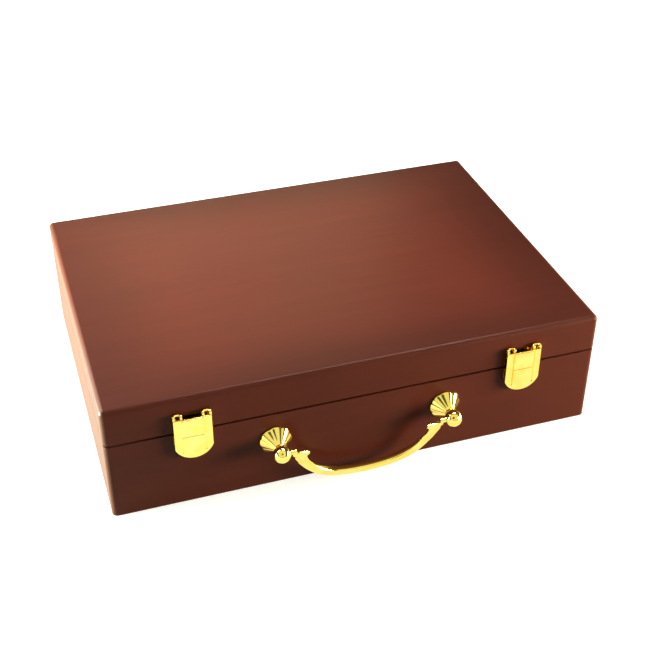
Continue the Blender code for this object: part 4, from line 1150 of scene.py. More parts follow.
@dataclass
class Linings:
    """The velvet bands round both walls, and the padded panel in the lid."""

    finishes: Finishes
    cloth: float = 0.0008
    corner: float = 0.0009
    border: float = 0.0100
    channel: float = 0.0010
    sink: float = 0.00045
    crown: float = 0.0006
    crown_reach: float = 0.024
    crown_shares: tuple[float, ...] = (0.5, 0.25, 0.15, 0.1)

    def build(self) -> None:
        """Builds both bands and the panel."""
        self._band("base_lining")
        self._band("lid_lining")
        self._panel()

    def _band(self, node: str) -> None:
        """Builds a band of velvet round the inside of a wall.

        Args:
            node: The lining.
        """
        low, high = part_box(node)
        band = block(node, low, high)
        inner = (high.x - self.cloth + NEAR, high.y - self.cloth + NEAR)
        with Edit(band) as edit:
            edit.faces(lambda place, way: abs(way.z) > FACING)
            bpy.ops.mesh.inset(thickness=self.cloth, use_even_offset=True, use_individual=True)
            edit.faces(lambda place, way: abs(way.z) > FACING and within(place, NEAR, NEAR))
            bpy.ops.mesh.delete(type="ONLY_FACE")
            edit.edges(lambda a, b: within(a, *inner) and within(b, *inner))
            bpy.ops.mesh.bridge_edge_loops()
            edit.edges(lambda a, b: upright(a, b)).bevel(self.corner, 4)
            edit.edges(lambda a, b: abs(a.z - b.z) < NEAR and within(a, *inner) and within(b, *inner))
            edit.bevel(self.cloth * 0.4, 3)
            edit.tidy()
        piece = hand_over(band, node, self.finishes.velvet, 50.0)

    def _panel(self) -> None:
        """Builds the lid's padded panel: a flat border, a sewn channel and a crowned field."""
        low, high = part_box("lid_liner")
        panel = block("lid_panel", low, high)
        with Edit(panel) as edit:
            edit.faces(lambda place, way: way.z < -FACING).move((0.0, 0.0, self.crown)).inset(self.border)
            edit.inset(self.channel / 2).move((0.0, 0.0, self.sink)).inset(self.channel / 2)
            edit.move((0.0, 0.0, -self.sink))
            for share in self.crown_shares:
                edit.inset(self.crown_reach * share).move((0.0, 0.0, -self.crown * share))
            edit.edges(lambda a, b: upright(a, b) and abs(a.x) > high.x - NEAR).bevel(2 * self.cloth, 4)
        piece = hand_over(panel, "lid_liner", self.finishes.velvet, 60.0, even=False)


# Metalwork.


@dataclass
class Hinges:
    """Two butt hinges let into the back wall: leaves, pins and slotted screws."""

    finishes: Finishes
    offset: float = 0.095
    half: float = 0.020
    knuckle: float = 0.0021
    split: float = 0.0068
    gap: float = 0.0002
    pin: float = 0.00115
    play: float = 0.00006
    thickness: float = 0.0010
    leaf_inner: float = 0.1012
    leaf_outer: float = 0.1090
    axis: Pair = (0.1113, 0.0527)
    drop: float = 0.00035
    screw_x: float = 0.0130
    screw_y: float = 0.1045
    head: float = 0.00185
    shank: float = 0.0009
    length: float = 0.0070
    slot: float = 0.0005
    easing: float = 0.00012

    def build(self) -> None:
        """Builds the right-hand hinge and copies it to the left."""
        outer = ((-self.half, -self.split - self.gap), (self.split + self.gap, self.half))
        rows = [
            ("base_leaf", self._leaf(-1, outer)),
            ("lid_leaf", self._leaf(1, ((-self.split, self.split),))),
            ("pin", self._pin()),
        ]
        for shell, side in (("base", -1), ("lid", 1)):
            first = self._screw(side)
            rows.append((f"{shell}_screw_1", first))
            rows.append((f"{shell}_screw_2", twin(first, "screw", (2 * self.screw_x, 0.0, 0.0))))
        for name, piece in rows:
            copy = twin(piece, name, (-2 * self.offset, 0.0, 0.0))
            hand_over(piece, f"hinge_right_{name}", self.finishes.gold)
            hand_over(copy, f"hinge_left_{name}", self.finishes.gold)

    def _leaf(self, side: int, spans: Sequence[Pair]) -> bpy.types.Object:
        """Makes a leaf with its knuckles, bored for the pin and countersunk.

        Args:
            side: 1 for the lid's and -1 for the base's.
            spans: Start and end of each knuckle, from the hinge's middle.

        Returns:
            The leaf.
        """
        axis_y, axis_z = self.axis
        near = self.drop
        far = near + self.thickness
        levels = sorted((axis_z + side * near, axis_z + side * far))
        x = self.offset
        low = (x - self.half, self.leaf_inner, levels[0])
        leaf = block("leaf", low, (x + self.half, self.leaf_outer, levels[1]))
        tongue = self.leaf_outer - self.thickness
        first = 180.0 - side * math.degrees(math.asin(near / self.knuckle))
        last = 180.0 - side * math.degrees(math.asin(far / self.knuckle)) + side * 360.0
        points = arc(self.axis, self.knuckle, first, last, 48)
        points += [(tongue, axis_z + side * far), (tongue, axis_z + side * near)]
        knuckles = [
            plate("knuckle", [Vector((x + start, py, pz)) for py, pz in points], (end - start, 0.0, 0.0))
            for start, end in spans
        ]
        combine(leaf, Joinery.WELD, knuckles)
        centre = (x, axis_y, axis_z)
        tools = [rod("bore", centre, self.pin + self.play, -2 * self.half, 2 * self.half, Axis.X)]
        cone = self.head - self.shank
        for screw in BOTH:
            profile = [
                (self.head + self.easing, side * (near - self.easing)),
                (self.shank + self.easing, side * (near + cone)),
                (self.shank + self.easing, side * (far + cone)),
            ]
            place = (x + screw * self.screw_x, self.screw_y, axis_z)
            tools.append(turned("sink", profile, place, Axis.Z, 32))
        combine(leaf, Joinery.CUT, tools)
        return ease(leaf, self.easing, 2, 50.0)

    def _pin(self) -> bpy.types.Object:
        """Makes the pin, with domed ends.

        Returns:
            The pin.
        """
        height = self.pin / 3
        angles = [math.radians(angle) for angle in (0, 30, 60, 90)]
        dome = [(self.pin * math.sin(angle), height * math.cos(angle)) for angle in angles]
        profile = [(radius, height - self.half - rise) for radius, rise in dome]
        profile += [(radius, self.half - height + rise) for radius, rise in reversed(dome)]
        return turned("pin", profile, (self.offset, *self.axis), Axis.X, 40)

    def _screw(self, side: int) -> bpy.types.Object:
        """Makes the first screw of one leaf.

        Args:
            side: 1 for the lid's and -1 for the base's.

        Returns:
            The screw.
        """
        centre = (self.offset - self.screw_x, self.screw_y, self.axis[1])
        face = self.drop + self.easing / 2
        profile = [
            (self.head - self.easing, face),
            (self.head, face + self.easing),
            (self.shank, face + self.head - self.shank + self.easing),
            (self.shank, self.length - self.shank),
            (0.0, self.length),
        ]
        screw = turned("screw", [(radius, side * along) for radius, along in profile], centre, Axis.Z, 40)
        x, y, z = centre
        ends = sorted((z, z + side * (face + self.slot)))
        low = (x - self.head * 2, y - self.slot / 2, ends[0])
        slot = block("slot", low, (x + self.head * 2, y + self.slot / 2, ends[1]))
        return combine(screw, Joinery.CUT, [slot])


@dataclass
class Latches:
    """Two flap latches: plates nailed to the lid and the base, and a cover flap on two pins."""

    finishes: Finishes
    offset: float = 0.102
    half: float = 0.01115
    top: float = 0.0643
    straight_end: float = 0.0435
    bottom: float = 0.0358
    front: float = -0.109
    flap_back: float = 0.0030
    flap_thickness: float = 0.0010
    rounding: float = 0.00034
    panel_half: float = 0.00645
    panel_rise: float = 0.00045
    panels: tuple[Pair, Pair] = ((0.0415, 0.05180), (0.05215, 0.0636))
    flute: float = 0.00065
    flute_depth: float = 0.00045
    flute_gap: float = 0.00005
    axis: Pair = (-0.1111, 0.0657)
    cheek: float = 0.0008
    cheek_radius: float = 0.0015
    cheek_foot: float = 0.0617
    ear_radius: float = 0.0016
    ear: Pair = (0.0057, 0.0102)
    ear_back: float = 0.00065
    hollow: Pair = (0.00695, 0.00975)
    hollow_back: float = 0.0013
    hollow_foot: float = 0.0635
    pin: float = 0.0007
    play: float = 0.00006
    seat: float = 0.00025
    plate: float = 0.0008
    plate_low: float = 0.05355
    shoulder: float = 0.0610
    plate_half: float = 0.0110
    catch_top: float = 0.05185
    catch_inset: float = 0.00075
    ridge: tuple[float, float, float] = (0.0050, 0.0435, 0.0020)
    nail_x: float = 0.0070
    nail_heights: Pair = (0.0572, 0.0485)
    nail: float = 0.0006
    nail_head: float = 0.0013
    nail_rise: float = 0.0005
    nail_length: float = 0.0059

    def build(self) -> None:
        """Builds the left-hand latch and copies it to the right."""
        rows = [("flap", self._flap()), ("lid_plate", self._lid_plate()), ("catch", self._catch())]
        for shell, height in zip(("lid", "base"), self.nail_heights):
            first = self._nail(height)
            rows.append((f"{shell}_nail_1", first))
            rows.append((f"{shell}_nail_2", twin(first, "nail", (2 * self.nail_x, 0.0, 0.0))))
        first = self._pin()
        shift = self.hollow[1] + self.half
        rows.append(("pin_1", first))
        rows.append(("pin_2", twin(first, "pin", (shift, 0.0, 0.0))))
        for name, piece in rows:
            copy = twin(piece, name, (2 * self.offset, 0.0, 0.0))
            hand_over(piece, f"latch_left_{name}", self.finishes.gold)
            hand_over(copy, f"latch_right_{name}", self.finishes.gold)

    def _outline(self, inset: float, top: float, half: float) -> list[Pair]:
        """Draws a straight-sided outline with a round lower end.

        Args:
            inset: How far the round end is drawn in.
            top: Its top.
            half: Half its width.

        Returns:
            Its points as (x, z), from the latch's middle.
        """
        fall = self.straight_end - self.bottom
        radius = (self.half**2 + fall**2) / (2 * fall)
        reach = radius - inset
        spread = math.degrees(math.asin(min(1.0, half / reach)))
        round_end = arc((0.0, self.bottom + radius), reach, 270.0 - spread, 270.0 + spread, 40)
        return [(-half, top), *round_end, (half, top)]

    def _front_plate(self, outline: Sequence[Pair], back: float, thickness: float) -> bpy.types.Object:
        """Returns a plate parallel to the front."""
        y = self.front - back
        return plate("plate", [Vector((x - self.offset, y, z)) for x, z in outline], (0.0, -thickness, 0.0))

    def _side_plate(self, outline: Sequence[Pair], start: float, end: float) -> bpy.types.Object:
        """Returns a plate across the latch, drawn in (y, z)."""
        x = start - self.offset
        return plate("cheek", [Vector((x, y, z)) for y, z in outline], (end - start, 0.0, 0.0))

    def _pin_rod(self, start: float, end: float, slack: float, chamfer: float = 0.0) -> bpy.types.Object:
        """Returns a rod on the flap's axis."""
        centre = (-self.offset, *self.axis)
        return rod("pin", centre, self.pin + slack, start, end, Axis.X, 32, chamfer)

    def _flap(self) -> bpy.types.Object:
        """Makes the cover flap: rounded plate, raised panel in two halves, side flutes and two cheeks.

        Returns:
            The flap.
        """
        flap = self._front_plate(self._outline(0.0, self.top, self.half), self.flap_back, self.flap_thickness)
        face = self.front - self.flap_back - self.flap_thickness
        with Edit(flap) as edit:
            edit.edges(lambda a, b: max(a.y, b.y) < face + NEAR).bevel(self.rounding, 4)
        panels = []
        for low, high in self.panels:
            first = (-self.panel_half - self.offset, face - self.panel_rise, low)
            panel = block("panel", first, (self.panel_half - self.offset, face + self.panel_rise, high))
            with Edit(panel) as edit:
                edit.all().bevel(self.panel_rise * 0.6, 4)
            panels.append(panel)
        combine(flap, Joinery.WELD, panels)
        flutes = []
        for side in BOTH:
            ends = sorted(side * (self.panel_half + self.flute_gap + step) for step in (0.0, self.flute))
            low = (ends[0] - self.offset, face - self.flute_depth, self.straight_end - self.flap_back)
            high = (ends[1] - self.offset, face + self.flute_depth, self.panels[1][1])
            flutes.append(block("flute", low, high))
        combine(flap, Joinery.CUT, flutes)
        middle = face + self.flap_thickness / 2
        outline = arc(self.axis, self.cheek_radius, -34.0, 181.0, 28)
        outline += [(middle, self.cheek_foot), (middle + self.flap_thickness / 2, self.cheek_foot)]
        inner = self.half - self.cheek
        cheeks = [self._side_plate(outline, *ends) for ends in ((-self.half, -inner), (inner, self.half))]
        combine(flap, Joinery.WELD, cheeks)
        combine(flap, Joinery.CUT, [self._pin_rod(-2 * self.half, 2 * self.half, self.play)])
        return flap

    def _lid_plate(self) -> bpy.types.Object:
        """Makes the plate on the lid, with two hollow ears that carry the pins.

        Returns:
            The plate.
        """
        side = self.ear[1]
        axis_y, axis_z = self.axis
        outline = [
            (-self.plate_half, self.plate_low),
            (self.plate_half, self.plate_low),
            (self.plate_half, self.shoulder),
            (side, self.shoulder),
            (side, axis_z),
            (-side, axis_z),
            (-side, self.shoulder),
            (-self.plate_half, self.shoulder),
        ]
        piece = self._front_plate(outline, self.seat, self.plate)
        back = self.front - self.ear_back
        ear = arc(self.axis, self.ear_radius, 44.0, 270.0, 28)
        ear += [(back, axis_z - self.ear_radius), (back, axis_z + self.ear_radius / 2)]
        start, end = self.ear
        combine(piece, Joinery.WELD, [self._side_plate(ear, -end, -start), self._side_plate(ear, start, end)])
        tools = [self._pin_rod(-2 * self.half, 2 * self.half, self.play)]
        for low, high in (self.hollow, (-self.hollow[1], -self.hollow[0])):
            first = (low - self.offset, axis_y - 2 * self.ear_radius, self.hollow_foot)
            second = (high - self.offset, self.front - self.hollow_back, axis_z + 2 * self.ear_radius)
            tools.append(block("hollow", first, second))
        combine(piece, Joinery.CUT, tools + self._nail_holes(self.nail_heights[0]))
        return ease(piece, self.rounding / 2, 2, 50.0)

    def _catch(self) -> bpy.types.Object:
        """Makes the plate on the base, with the ridge that the flap closes over.

        Returns:
            The catch.
        """
        outline = self._outline(self.catch_inset, self.catch_top, self.plate_half)
        piece = self._front_plate(outline, self.seat, self.plate)
        half, level, height = self.ridge
        low = (-half - self.offset, self.front - self.flap_back + self.seat, level - height / 2)
        high = (half - self.offset, self.front - self.seat - self.plate / 2, level + height / 2)
        ridge = block("ridge", low, high)
        with Edit(ridge) as edit:
            edit.all().bevel(self.plate / 3, 3)
        combine(piece, Joinery.WELD, [ridge])
        combine(piece, Joinery.CUT, self._nail_holes(self.nail_heights[1]))
        return ease(piece, self.rounding / 2, 2, 50.0)

    def _nail_holes(self, height: float) -> list[bpy.types.Object]:
        """Makes the cutters for a plate's two nails.

        Args:
            height: Where the nails are.

        Returns:
            The cutters.
        """
        depth = self.flap_back
        radius = self.nail + self.rounding / 3
        centres = [(end * self.nail_x - self.offset, self.front, height) for end in BOTH]
        return [rod("hole", centre, radius, -depth, depth, Axis.Y, 16) for centre in centres]

    def _nail(self, height: float) -> bpy.types.Object:
        """Makes a round-headed nail, the first of its pair.

        Args:
            height: Where it is driven in.

        Returns:
            The nail.
        """
        face = -self.seat - self.plate - self.rounding / 3
        dome = [math.radians(angle) for angle in range(0, 91, 15)]
        profile = [(self.nail_head * math.sin(a), face - self.nail_rise * math.cos(a)) for a in dome]
        profile += [(self.nail, face), (self.nail, self.nail_length - 3 * self.nail), (0.0, self.nail_length)]
        return turned("nail", profile, (-self.nail_x - self.offset, self.front, height), Axis.Y, 32)

    def _pin(self) -> bpy.types.Object:
        """Returns the short pin at the flap's left."""
        return self._pin_rod(-self.half, -self.hollow[1], 0.0, self.pin / 4)


@dataclass
class Handle:
    """The bail handle on two ball posts, with fluted rosettes under them and nuts inside."""

    finishes: Finishes
    offset: float = 0.0535
    level: float = 0.0332
    front: float = -0.109
    seat: float = 0.00025
    rosette: float = 0.0098
    neck: float = 0.0030
    lip: float = 0.0009
    length: float = 0.0086
    lobes: int = 8
    phases: int = 16
    flute: float = 0.055
    bell: float = 1.08
    rings: int = 12
    ball: float = 0.0053
    ball_out: float = 0.0139
    ball_steps: int = 36
    pin_play: float = 0.00006
    pin_slack: float = 0.0004
    stud: float = 0.0015
    stud_end: float = 0.00875
    bore: float = 0.0016
    washer: tuple[float, float, float] = (0.0042, 0.00505, 0.00565)
    nut: tuple[float, float, float] = (0.0032, 0.00590, 0.00830)

    def build(self) -> None:
        """Builds the right-hand fittings, copies them to the left, and hangs the bail between them."""
        gold = self.finishes.gold
        zinc = self.finishes.zinc
        rows = [
            ("rosette", self._rosette(), gold),
            ("post", self._post(), gold),
            ("washer", self._washer(), zinc),
            ("nut", self._nut(), zinc),
        ]
        for name, piece, finish in rows:
            copy = twin(piece, name, (0.0, 0.0, 0.0), mirrored=True)
            hand_over(piece, f"handle_right_{name}", finish, 40.0, even=False)
            hand_over(copy, f"handle_left_{name}", finish, 40.0, even=False)
        hand_over(Bail().build(), "bail", gold, 40.0, even=False)

    @property
    def centre(self) -> Place:
        """Where the right-hand post meets the front face."""
        return (self.offset, self.front, self.level)

    def _rosette(self) -> bpy.types.Object:
        """Makes the fluted bell: a disc drawn in at its valleys, then drawn out along the bell's curve.

        Returns:
            The rosette.
        """
        x, y, z = self.centre
        count = self.lobes * self.phases
        bpy.ops.object.select_all(action="DESELECT")
        bpy.ops.mesh.primitive_circle_add(
            vertices=count,
            radius=self.rosette,
            fill_type="NGON",
            location=(x, y - self.seat, z),
            rotation=(math.pi / 2, 0.0, 0.0),
        )
        rosette = settle("rosette")

        def phase(place: Vector) -> int:
            """Counts how many points a rim point is from the top of its lobe.

            Args:
                place: The rim point.

            Returns:
                The number of points.
            """
            turn = math.atan2(place.z - z, place.x - x) / (2 * math.pi) * count
            step = round(turn) % self.phases
            return min(step, self.phases - step)

        spare = self.rosette - self.neck
        rings = [(self.rosette, self.lip)]
        for step in range(1, self.rings + 1):
            part = step / self.rings
            out = self.lip + (self.length - self.seat - self.lip) * part
            rings.append((self.neck + spare * (1.0 - part) ** self.bell, out))
        with Edit(rosette) as edit:
            for step in range(1, self.phases // 2 + 1):
                lobe = abs(math.cos(math.pi * step / self.phases))
                scale = 1.0 - self.flute * (1.0 - lobe)
                edit.verts(lambda place: phase(place) == step).resize((scale, 1.0, scale), self.centre)
            edit.all()
            radius = self.rosette
            along = self.seat
            for wanted, out in rings:
                edit.extrude((0.0, along - out, 0.0))
                scale = wanted / radius
                edit.resize((scale, 1.0, scale), self.centre)
                radius = wanted
                along = out
            edit.tidy()
            rim = y - self.lip
            edit.edges(lambda a, b: abs(a.y - b.y) < NEAR and abs(a.y - rim) < NEAR)
            edit.bevel(self.lip / 4, 3)
        bore = rod("bore", self.centre, self.bore, -2 * self.length, self.length, Axis.Y, 32)
        return combine(rosette, Joinery.CUT, [bore])

    def _post(self) -> bpy.types.Object:
        """Makes the ball on its stud, bored for the bail's pin.

        Returns:
            The post.
        """
        reach = math.sqrt(self.ball**2 - self.stud**2)
        last = math.degrees(math.atan2(self.stud, -reach))
        turns = [math.radians(last * step / self.ball_steps) for step in range(self.ball_steps + 1)]
        profile = [(self.ball * math.sin(a), -self.ball_out - self.ball * math.cos(a)) for a in turns]
        chamfer = self.stud / 4
        profile += [(self.stud, self.stud_end - chamfer), (self.stud - chamfer, self.stud_end)]
        post = turned("post", profile, self.centre, Axis.Y, 72)
        ball = (self.offset, self.front - self.ball_out, self.level)
        depth = Bail.bite + self.pin_slack - self.ball
        bore = rod("bore", ball, Bail.pin + self.pin_play, -2 * self.ball, depth, Axis.X, 32)
        return combine(post, Joinery.CUT, [bore])

    def _washer(self) -> bpy.types.Object:
        """Makes the washer.

        Returns:
            The washer.
        """
        radius, start, end = self.washer
        washer = rod("washer", self.centre, radius, start, end, Axis.Y, 64, (end - start) / 6)
        return combine(washer, Joinery.CUT, [rod("bore", self.centre, self.bore, 0.0, 2 * end, Axis.Y, 32)])

    def _nut(self) -> bpy.types.Object:
        """Makes the hexagonal nut, its corners turned down.

        Returns:
            The nut.
        """
        radius, start, end = self.nut
        nut = rod("nut", self.centre, radius, start, end, Axis.Y, 6)
        combine(nut, Joinery.CUT, [rod("bore", self.centre, self.bore, 0.0, 2 * end, Axis.Y, 32)])
        return ease(nut, radius / 16, 2, 50.0)


@dataclass
class Bail:
    """The bail: a cast bow, two flat T-headed shoulders, and a knuckle with its pin at each end."""

    centre: Place = (0.0, -0.1229, 0.0332)
    lean: float = 12.0
    bow_end: float = 0.0404
    reach: float = 0.0300
    end_drop: float = 0.0100
    round_share: float = 0.42
    square_power: float = 4.5
    height: float = 0.0050
    thickness: float = 0.0044
    end_thickness: float = 0.00144
    swell: float = 0.25
    flat_start: float = 0.72
    corner: float = 0.30
    steps: int = 60
    plate: float = 0.0018
    outer: float = 0.0470
    inner: float = 0.0367
    shoulder_top: float = 0.0010
    slope: float = 0.0008
    crossbar: float = 0.0026
    neck: float = 0.0014
    sweep: Pair = (0.66, 0.96)
    sweep_share: float = 0.47
    sweep_steps: int = 16
    slope_share: float = 0.005
    knuckle: tuple[float, float, float] = (0.0015, 0.0447, 0.0483)
    pin: float = 0.0012
    pin_end: float = 0.0518
    bite: float = 0.0036

    def build(self) -> bpy.types.Object:
        """Draws the bail plumb about its pins and then leans it back.

        Returns:
            The bail.
        """
        bail = self._bow()
        right = self._shoulder()
        left = twin(right, "shoulder", (0.0, 0.0, 0.0), mirrored=True)
        radius, start, end = self.knuckle
        ease_by = self.pin / 5
        profile = [
            (radius - ease_by, start),
            (radius, start + ease_by),
            (radius, end),
            (self.pin, end),
            (self.pin, self.pin_end - ease_by),
            (self.pin - ease_by, self.pin_end),
        ]
        pin = turned("pin", profile, self.centre, Axis.X, 40)
        mate = twin(pin, "pin", (0.0, 0.0, 0.0), mirrored=True)
        combine(bail, Joinery.WELD, [right, left, pin, mate])
        with Edit(bail) as edit:
            edit.all().turn(math.radians(self.lean), Axis.X, self.centre)
        return bail

    def drop(self, x: float) -> float:
        """Works out how far the bow's middle hangs below the pins.

        Args:
            x: Distance from the middle.

        Returns:
            The drop.
        """
        span = min(1.0, abs(x) / self.bow_end)
        fall = self.round_share * span**2 + (1.0 - self.round_share) * span**self.square_power
        return self.reach - (self.reach - self.end_drop) * fall

    def slant(self, x: float) -> float:
        """Works out the slope of the bow.

        Args:
            x: Distance from the middle.

        Returns:
            The rise in the drop for each unit of x.
        """
        step = self.bow_end * self.slope_share
        held = max(step - self.bow_end, min(self.bow_end - step, x))
        return (self.drop(held + step) - self.drop(held - step)) / (2 * step)

    def section(self, x: float) -> Pair:
        """Works out the bow's section.

        Args:
            x: Distance from the middle.

        Returns:
            Its height and thickness.
        """
        span = min(1.0, abs(x) / self.bow_end)
        flat = max(0.0, (span - self.flat_start) / (1.0 - self.flat_start))
        height = self.height * (1.0 + self.swell * span**3)
        return height, self.thickness + (self.end_thickness - self.thickness) * flat

    def _bow(self) -> bpy.types.Object:
        """Draws a rounded square out along the curve, turned and scaled at each step.

        Returns:
            The bow.
        """
        y, z = self.centre[1:]
        start = -self.bow_end
        bpy.ops.object.select_all(action="DESELECT")
        bpy.ops.mesh.primitive_plane_add(
            size=1.0, location=(start, y, z - self.drop(start)), rotation=(0.0, math.pi / 2, 0.0)
        )
        bow = settle("bow")
        height, thickness = self.section(start)
        with Edit(bow) as edit:
            edit.all()
            bpy.ops.mesh.bevel(offset=self.corner, segments=5, profile=0.5, affect="VERTICES")
            place = Vector((start, y, z - self.drop(start)))
            edit.all().resize((1.0, thickness, height), place)
            angle = math.atan(self.slant(start))
            edit.turn(angle, Axis.Y, place)
            for step in range(1, self.steps + 1):
                here = self.bow_end * (2.0 * step / self.steps - 1.0)
                onward = Vector((here, y, z - self.drop(here)))
                edit.extrude(onward - place)
                edit.turn(-angle, Axis.Y, onward)
                tall, thick = self.section(here)
                edit.resize((1.0, thick / thickness, tall / height), onward)
                angle = math.atan(self.slant(here))
                edit.turn(angle, Axis.Y, onward)
                place, height, thickness = onward, tall, thick
            edit.tidy()
        return bow

    def _shoulder(self) -> bpy.types.Object:
        """Makes the right-hand shoulder: a flat T whose stem sweeps into the bow.

        Returns:
            The shoulder.
        """
        nib = self.crossbar / 4
        outer_top = self.shoulder_top
        inner_top = outer_top + self.slope
        outer_end = outer_top + self.crossbar
        inner_end = inner_top + self.crossbar
        neck_outer = self.outer - self.neck
        neck_inner = self.inner + self.neck
        outside = []
        inside = []
        first, last = self.sweep
        for step in range(self.sweep_steps + 1):
            x = self.bow_end * (first + (last - first) * step / self.sweep_steps)
            normal = Vector((-self.slant(x), 1.0)).normalized()
            half = self.section(x)[0] * self.sweep_share
            outside.append((x + normal.x * half, self.drop(x) + normal.y * half))
            inside.append((x - normal.x * half, self.drop(x) - normal.y * half))
        outline = arc((self.inner + nib, inner_top + nib), nib, 180.0, 270.0, 5)
        outline += arc((self.outer - nib, outer_top + nib), nib, 270.0, 360.0, 5)
        outline += arc((self.outer - nib, outer_end - nib), nib, 0.0, 60.0, 4)
        outline += [(neck_outer, outer_end + nib), (neck_outer, outer_end + 4 * nib)]
        outline += [*reversed(outside), *inside]
        outline += [(neck_inner, inner_end + 4 * nib), (neck_inner, inner_end + nib)]
        outline += arc((self.inner + nib, inner_end - nib), nib, 120.0, 180.0, 4)
        x, y, z = self.centre
        points = [Vector((x + px, y + self.plate / 2, z - pz)) for px, pz in outline]
        shoulder = plate("shoulder", points, (0.0, -self.plate, 0.0))
        near = y - self.plate / 2 + NEAR
        far = y + self.plate / 2 - NEAR
        with Edit(shoulder) as edit:
            edit.edges(lambda a, b: max(a.y, b.y) < near or min(a.y, b.y) > far).bevel(self.plate / 6, 3)
        return shoulder


# Studio.


@dataclass(frozen=True)
class Lamp:
    """One soft light."""

    name: str
    place: Place
    aim: Place
    size: Pair
    power: float
    colour: Colour = (1.0, 1.0, 1.0)
    lights_dull: bool = True


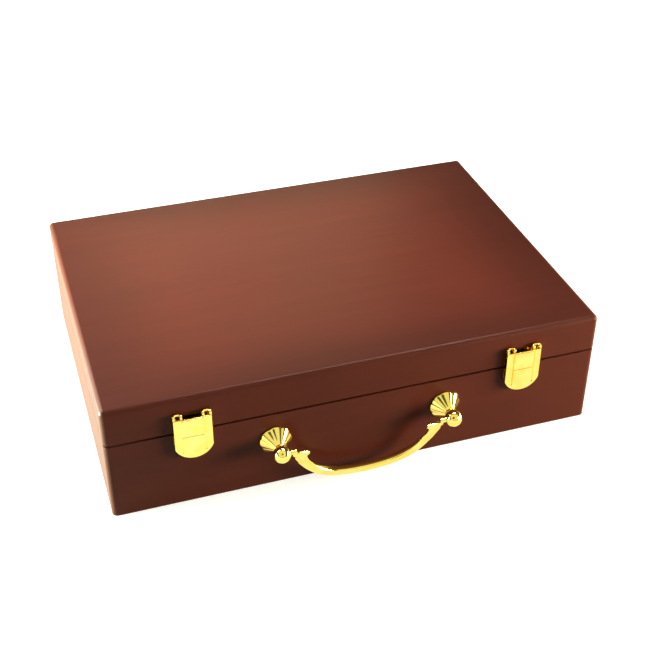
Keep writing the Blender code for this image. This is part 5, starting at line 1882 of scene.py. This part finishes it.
@dataclass
class Studio:
    """A pale floor, soft lights and the camera."""

    eye: Place = (-0.1878, -0.6197, 0.4877)
    forward: Place = (0.2508, 0.7773, -0.5769)
    lens: float = 65.475
    floor_half: float = 6.0
    floor_drop: float = 0.0002
    paint: tuple[Colour, Colour] = ((0.52, 0.52, 0.51), (0.55, 0.55, 0.54))
    glow: Pair = (0.70, 1.05)
    fade: Pair = (0.17, 0.45)
    shine: float = 1.10
    shine_colour: Colour = (1.0, 0.94, 0.72)
    hood_radius: float = 0.17
    bounce: float = 0.28
    dim: Colour = (0.12, 0.12, 0.12)
    bright: Colour = (1.2, 1.2, 1.2)
    lamps: tuple[Lamp, ...] = (
        Lamp("back_left_panel", (-0.40, 0.22, 0.44), (-0.05, 0.0, 0.05), (0.4, 0.4), 6.4),
        Lamp("left_panel", (-0.75, 0.12, 0.06), (-0.2, 0.0, 0.02), (0.4, 0.1), 95.0, (0.42, 1.0, 0.84)),
        Lamp("left_kicker", (-0.24, 0.03, 0.125), (-0.12, 0.02, 0.07), (0.12, 0.04), 0.16, (1.0, 0.5, 0.4)),
        Lamp("right_softbox", (0.80, -0.36, 0.16), (0.0, -0.1, 0.03), (0.7, 0.3), 27.0, (0.97, 1.0, 0.70)),
        Lamp("back_softbox", (0.30, 1.72, 1.05), (-0.05, 0.04, 0.07), (0.8, 0.5), 9.0, (1.0, 0.78, 0.48)),
        Lamp(
            "left_strip", (0.125, 0.146, 1.11), (-0.15, -0.1, 0.07), (0.22, 0.10),
            5.0, (1.0, 0.86, 0.76), False,
        ),
        Lamp(
            "right_strip", (0.425, 0.146, 1.11), (0.15, -0.1, 0.07), (0.22, 0.10),
            8.0, (1.0, 0.9, 0.8), False,
        ),
        Lamp("overhead", (0.0, 0.7, 2.2), (0.0, 0.0, 0.0), (2.4, 2.0), 3.0),
        Lamp(
            "front_card", (-0.5, -2.6, 2.6), (0.0, -0.1, 0.03), (9.0, 6.5),
            150.0, (1.0, 1.0, 0.66), False,
        ),
    )

    def build(self) -> None:
        """Builds the floor, the lights, the world and the camera."""
        self._floor()
        self._world()
        for lamp in self.lamps:
            self._light(lamp)
        self._camera()
        self._hood()
        bpy.context.scene.view_settings.view_transform = "Standard"

    def _floor(self) -> None:
        """Builds the floor, which fades to white away from the case."""
        bpy.ops.object.select_all(action="DESELECT")
        bpy.ops.mesh.primitive_plane_add(size=2 * self.floor_half, location=(0.0, 0.0, -self.floor_drop))
        floor = settle("studio_floor")
        dress = Dress("studio_floor")
        mottle = dress.noise(dress.place(), 3.0, 3.0)
        paint = dress.blend(dress.range(mottle, 0.3, 0.7, 0.0, 1.0), *self.paint)
        path = dress.node("ShaderNodeLightPath", {}, {})
        seen = Value(dress, path.outputs["Is Camera Ray"])
        mirrored = Value(dress, path.outputs["Is Glossy Ray"])
        dull = dress.blend(1.0, paint, (self.bounce, self.bounce, self.bounce), "MULTIPLY")
        dress.set(Base_Color=dress.blend(seen, dull, paint), Roughness=0.9, Specular_IOR_Level=0.1)
        away = dress.node("ShaderNodeVectorMath", {"operation": "LENGTH"}, {0: dress.place()})
        glow = dress.range(Value(dress, away.outputs["Value"]), *self.fade, *self.glow)
        warm = dress.blend(mirrored * self.shine, (0.0, 0.0, 0.0), self.shine_colour)
        dress.set(Emission_Color=dress.blend(seen * glow, warm, (1.0, 1.0, 1.0)), Emission_Strength=1.0)
        floor.data.materials.append(dress.material)

    def _world(self) -> None:
        """Makes the room: a dim light that the camera sees as white."""
        world = bpy.data.worlds.new("studio")
        world.use_nodes = True
        world.node_tree.nodes.clear()
        tree = Tree(world.node_tree)
        seen = tree.node("ShaderNodeLightPath", {}, {}).outputs["Is Camera Ray"]
        dim = tree.node("ShaderNodeBackground", {}, {0: self.dim}).outputs[0]
        bright = tree.node("ShaderNodeBackground", {}, {0: self.bright}).outputs[0]
        room = tree.node("ShaderNodeMixShader", {}, {0: seen, 1: dim, 2: bright}).outputs[0]
        tree.node("ShaderNodeOutputWorld", {}, {0: room})
        bpy.context.scene.world = world

    @staticmethod
    def _light(lamp: Lamp) -> None:
        """Adds a soft light.

        Args:
            lamp: What it is and where.
        """
        bpy.ops.object.select_all(action="DESELECT")
        place = Vector(lamp.place)
        turn = (Vector(lamp.aim) - place).to_track_quat("-Z", "Y").to_euler()
        bpy.ops.object.light_add(type="AREA", location=place, rotation=turn)
        light = bpy.context.object
        light.name = lamp.name
        light.data.shape = "RECTANGLE"
        light.data.size, light.data.size_y = lamp.size
        light.data.energy = lamp.power
        light.data.color = lamp.colour
        light.visible_camera = False
        light.visible_diffuse = lamp.lights_dull

    def _camera(self) -> None:
        """Adds the camera."""
        bpy.ops.object.select_all(action="DESELECT")
        turn = Vector(self.forward).to_track_quat("-Z", "Y")
        bpy.ops.object.camera_add(location=self.eye, rotation=turn.to_euler())
        camera = bpy.context.object
        camera.name = "studio_camera"
        camera.data.lens = self.lens
        camera.data.sensor_width = 36.0
        camera.data.clip_start = 0.01
        bpy.context.scene.camera = camera

    def _hood(self) -> None:
        """Adds the dark hood round the camera, which only polished metal shows."""
        place = Vector(self.eye) - Vector(self.forward) * self.hood_radius / 4
        turn = Vector(self.forward).to_track_quat("Z", "Y").to_euler()
        bpy.ops.object.select_all(action="DESELECT")
        bpy.ops.mesh.primitive_circle_add(
            vertices=48, radius=self.hood_radius, fill_type="NGON", location=place, rotation=turn
        )
        hood = settle("camera_hood")
        dress = Dress("camera_hood")
        weave = dress.noise(dress.place(), 60.0)
        dress.set(Base_Color=dress.blend(weave, (0.004, 0.004, 0.004), (0.012, 0.012, 0.012)), Roughness=1.0)
        hood.data.materials.append(dress.material)
        hood.visible_camera = False
        hood.visible_diffuse = False
        hood.visible_shadow = False


def main() -> None:
    """Builds the case and its studio."""
    logging.basicConfig(level=logging.INFO, format="%(message)s", stream=sys.stdout)
    finishes = Finishes()
    WoodBoxes(finishes).build()
    Inserts(finishes).build()
    Linings(finishes).build()
    Hinges(finishes).build()
    Latches(finishes).build()
    Handle(finishes).build()
    board = frame["nodes"]["base_bottom"]
    board.data.materials.clear()
    board.data.materials.append(finishes.board)
    Studio().build()


if __name__ == "__main__":
    main()
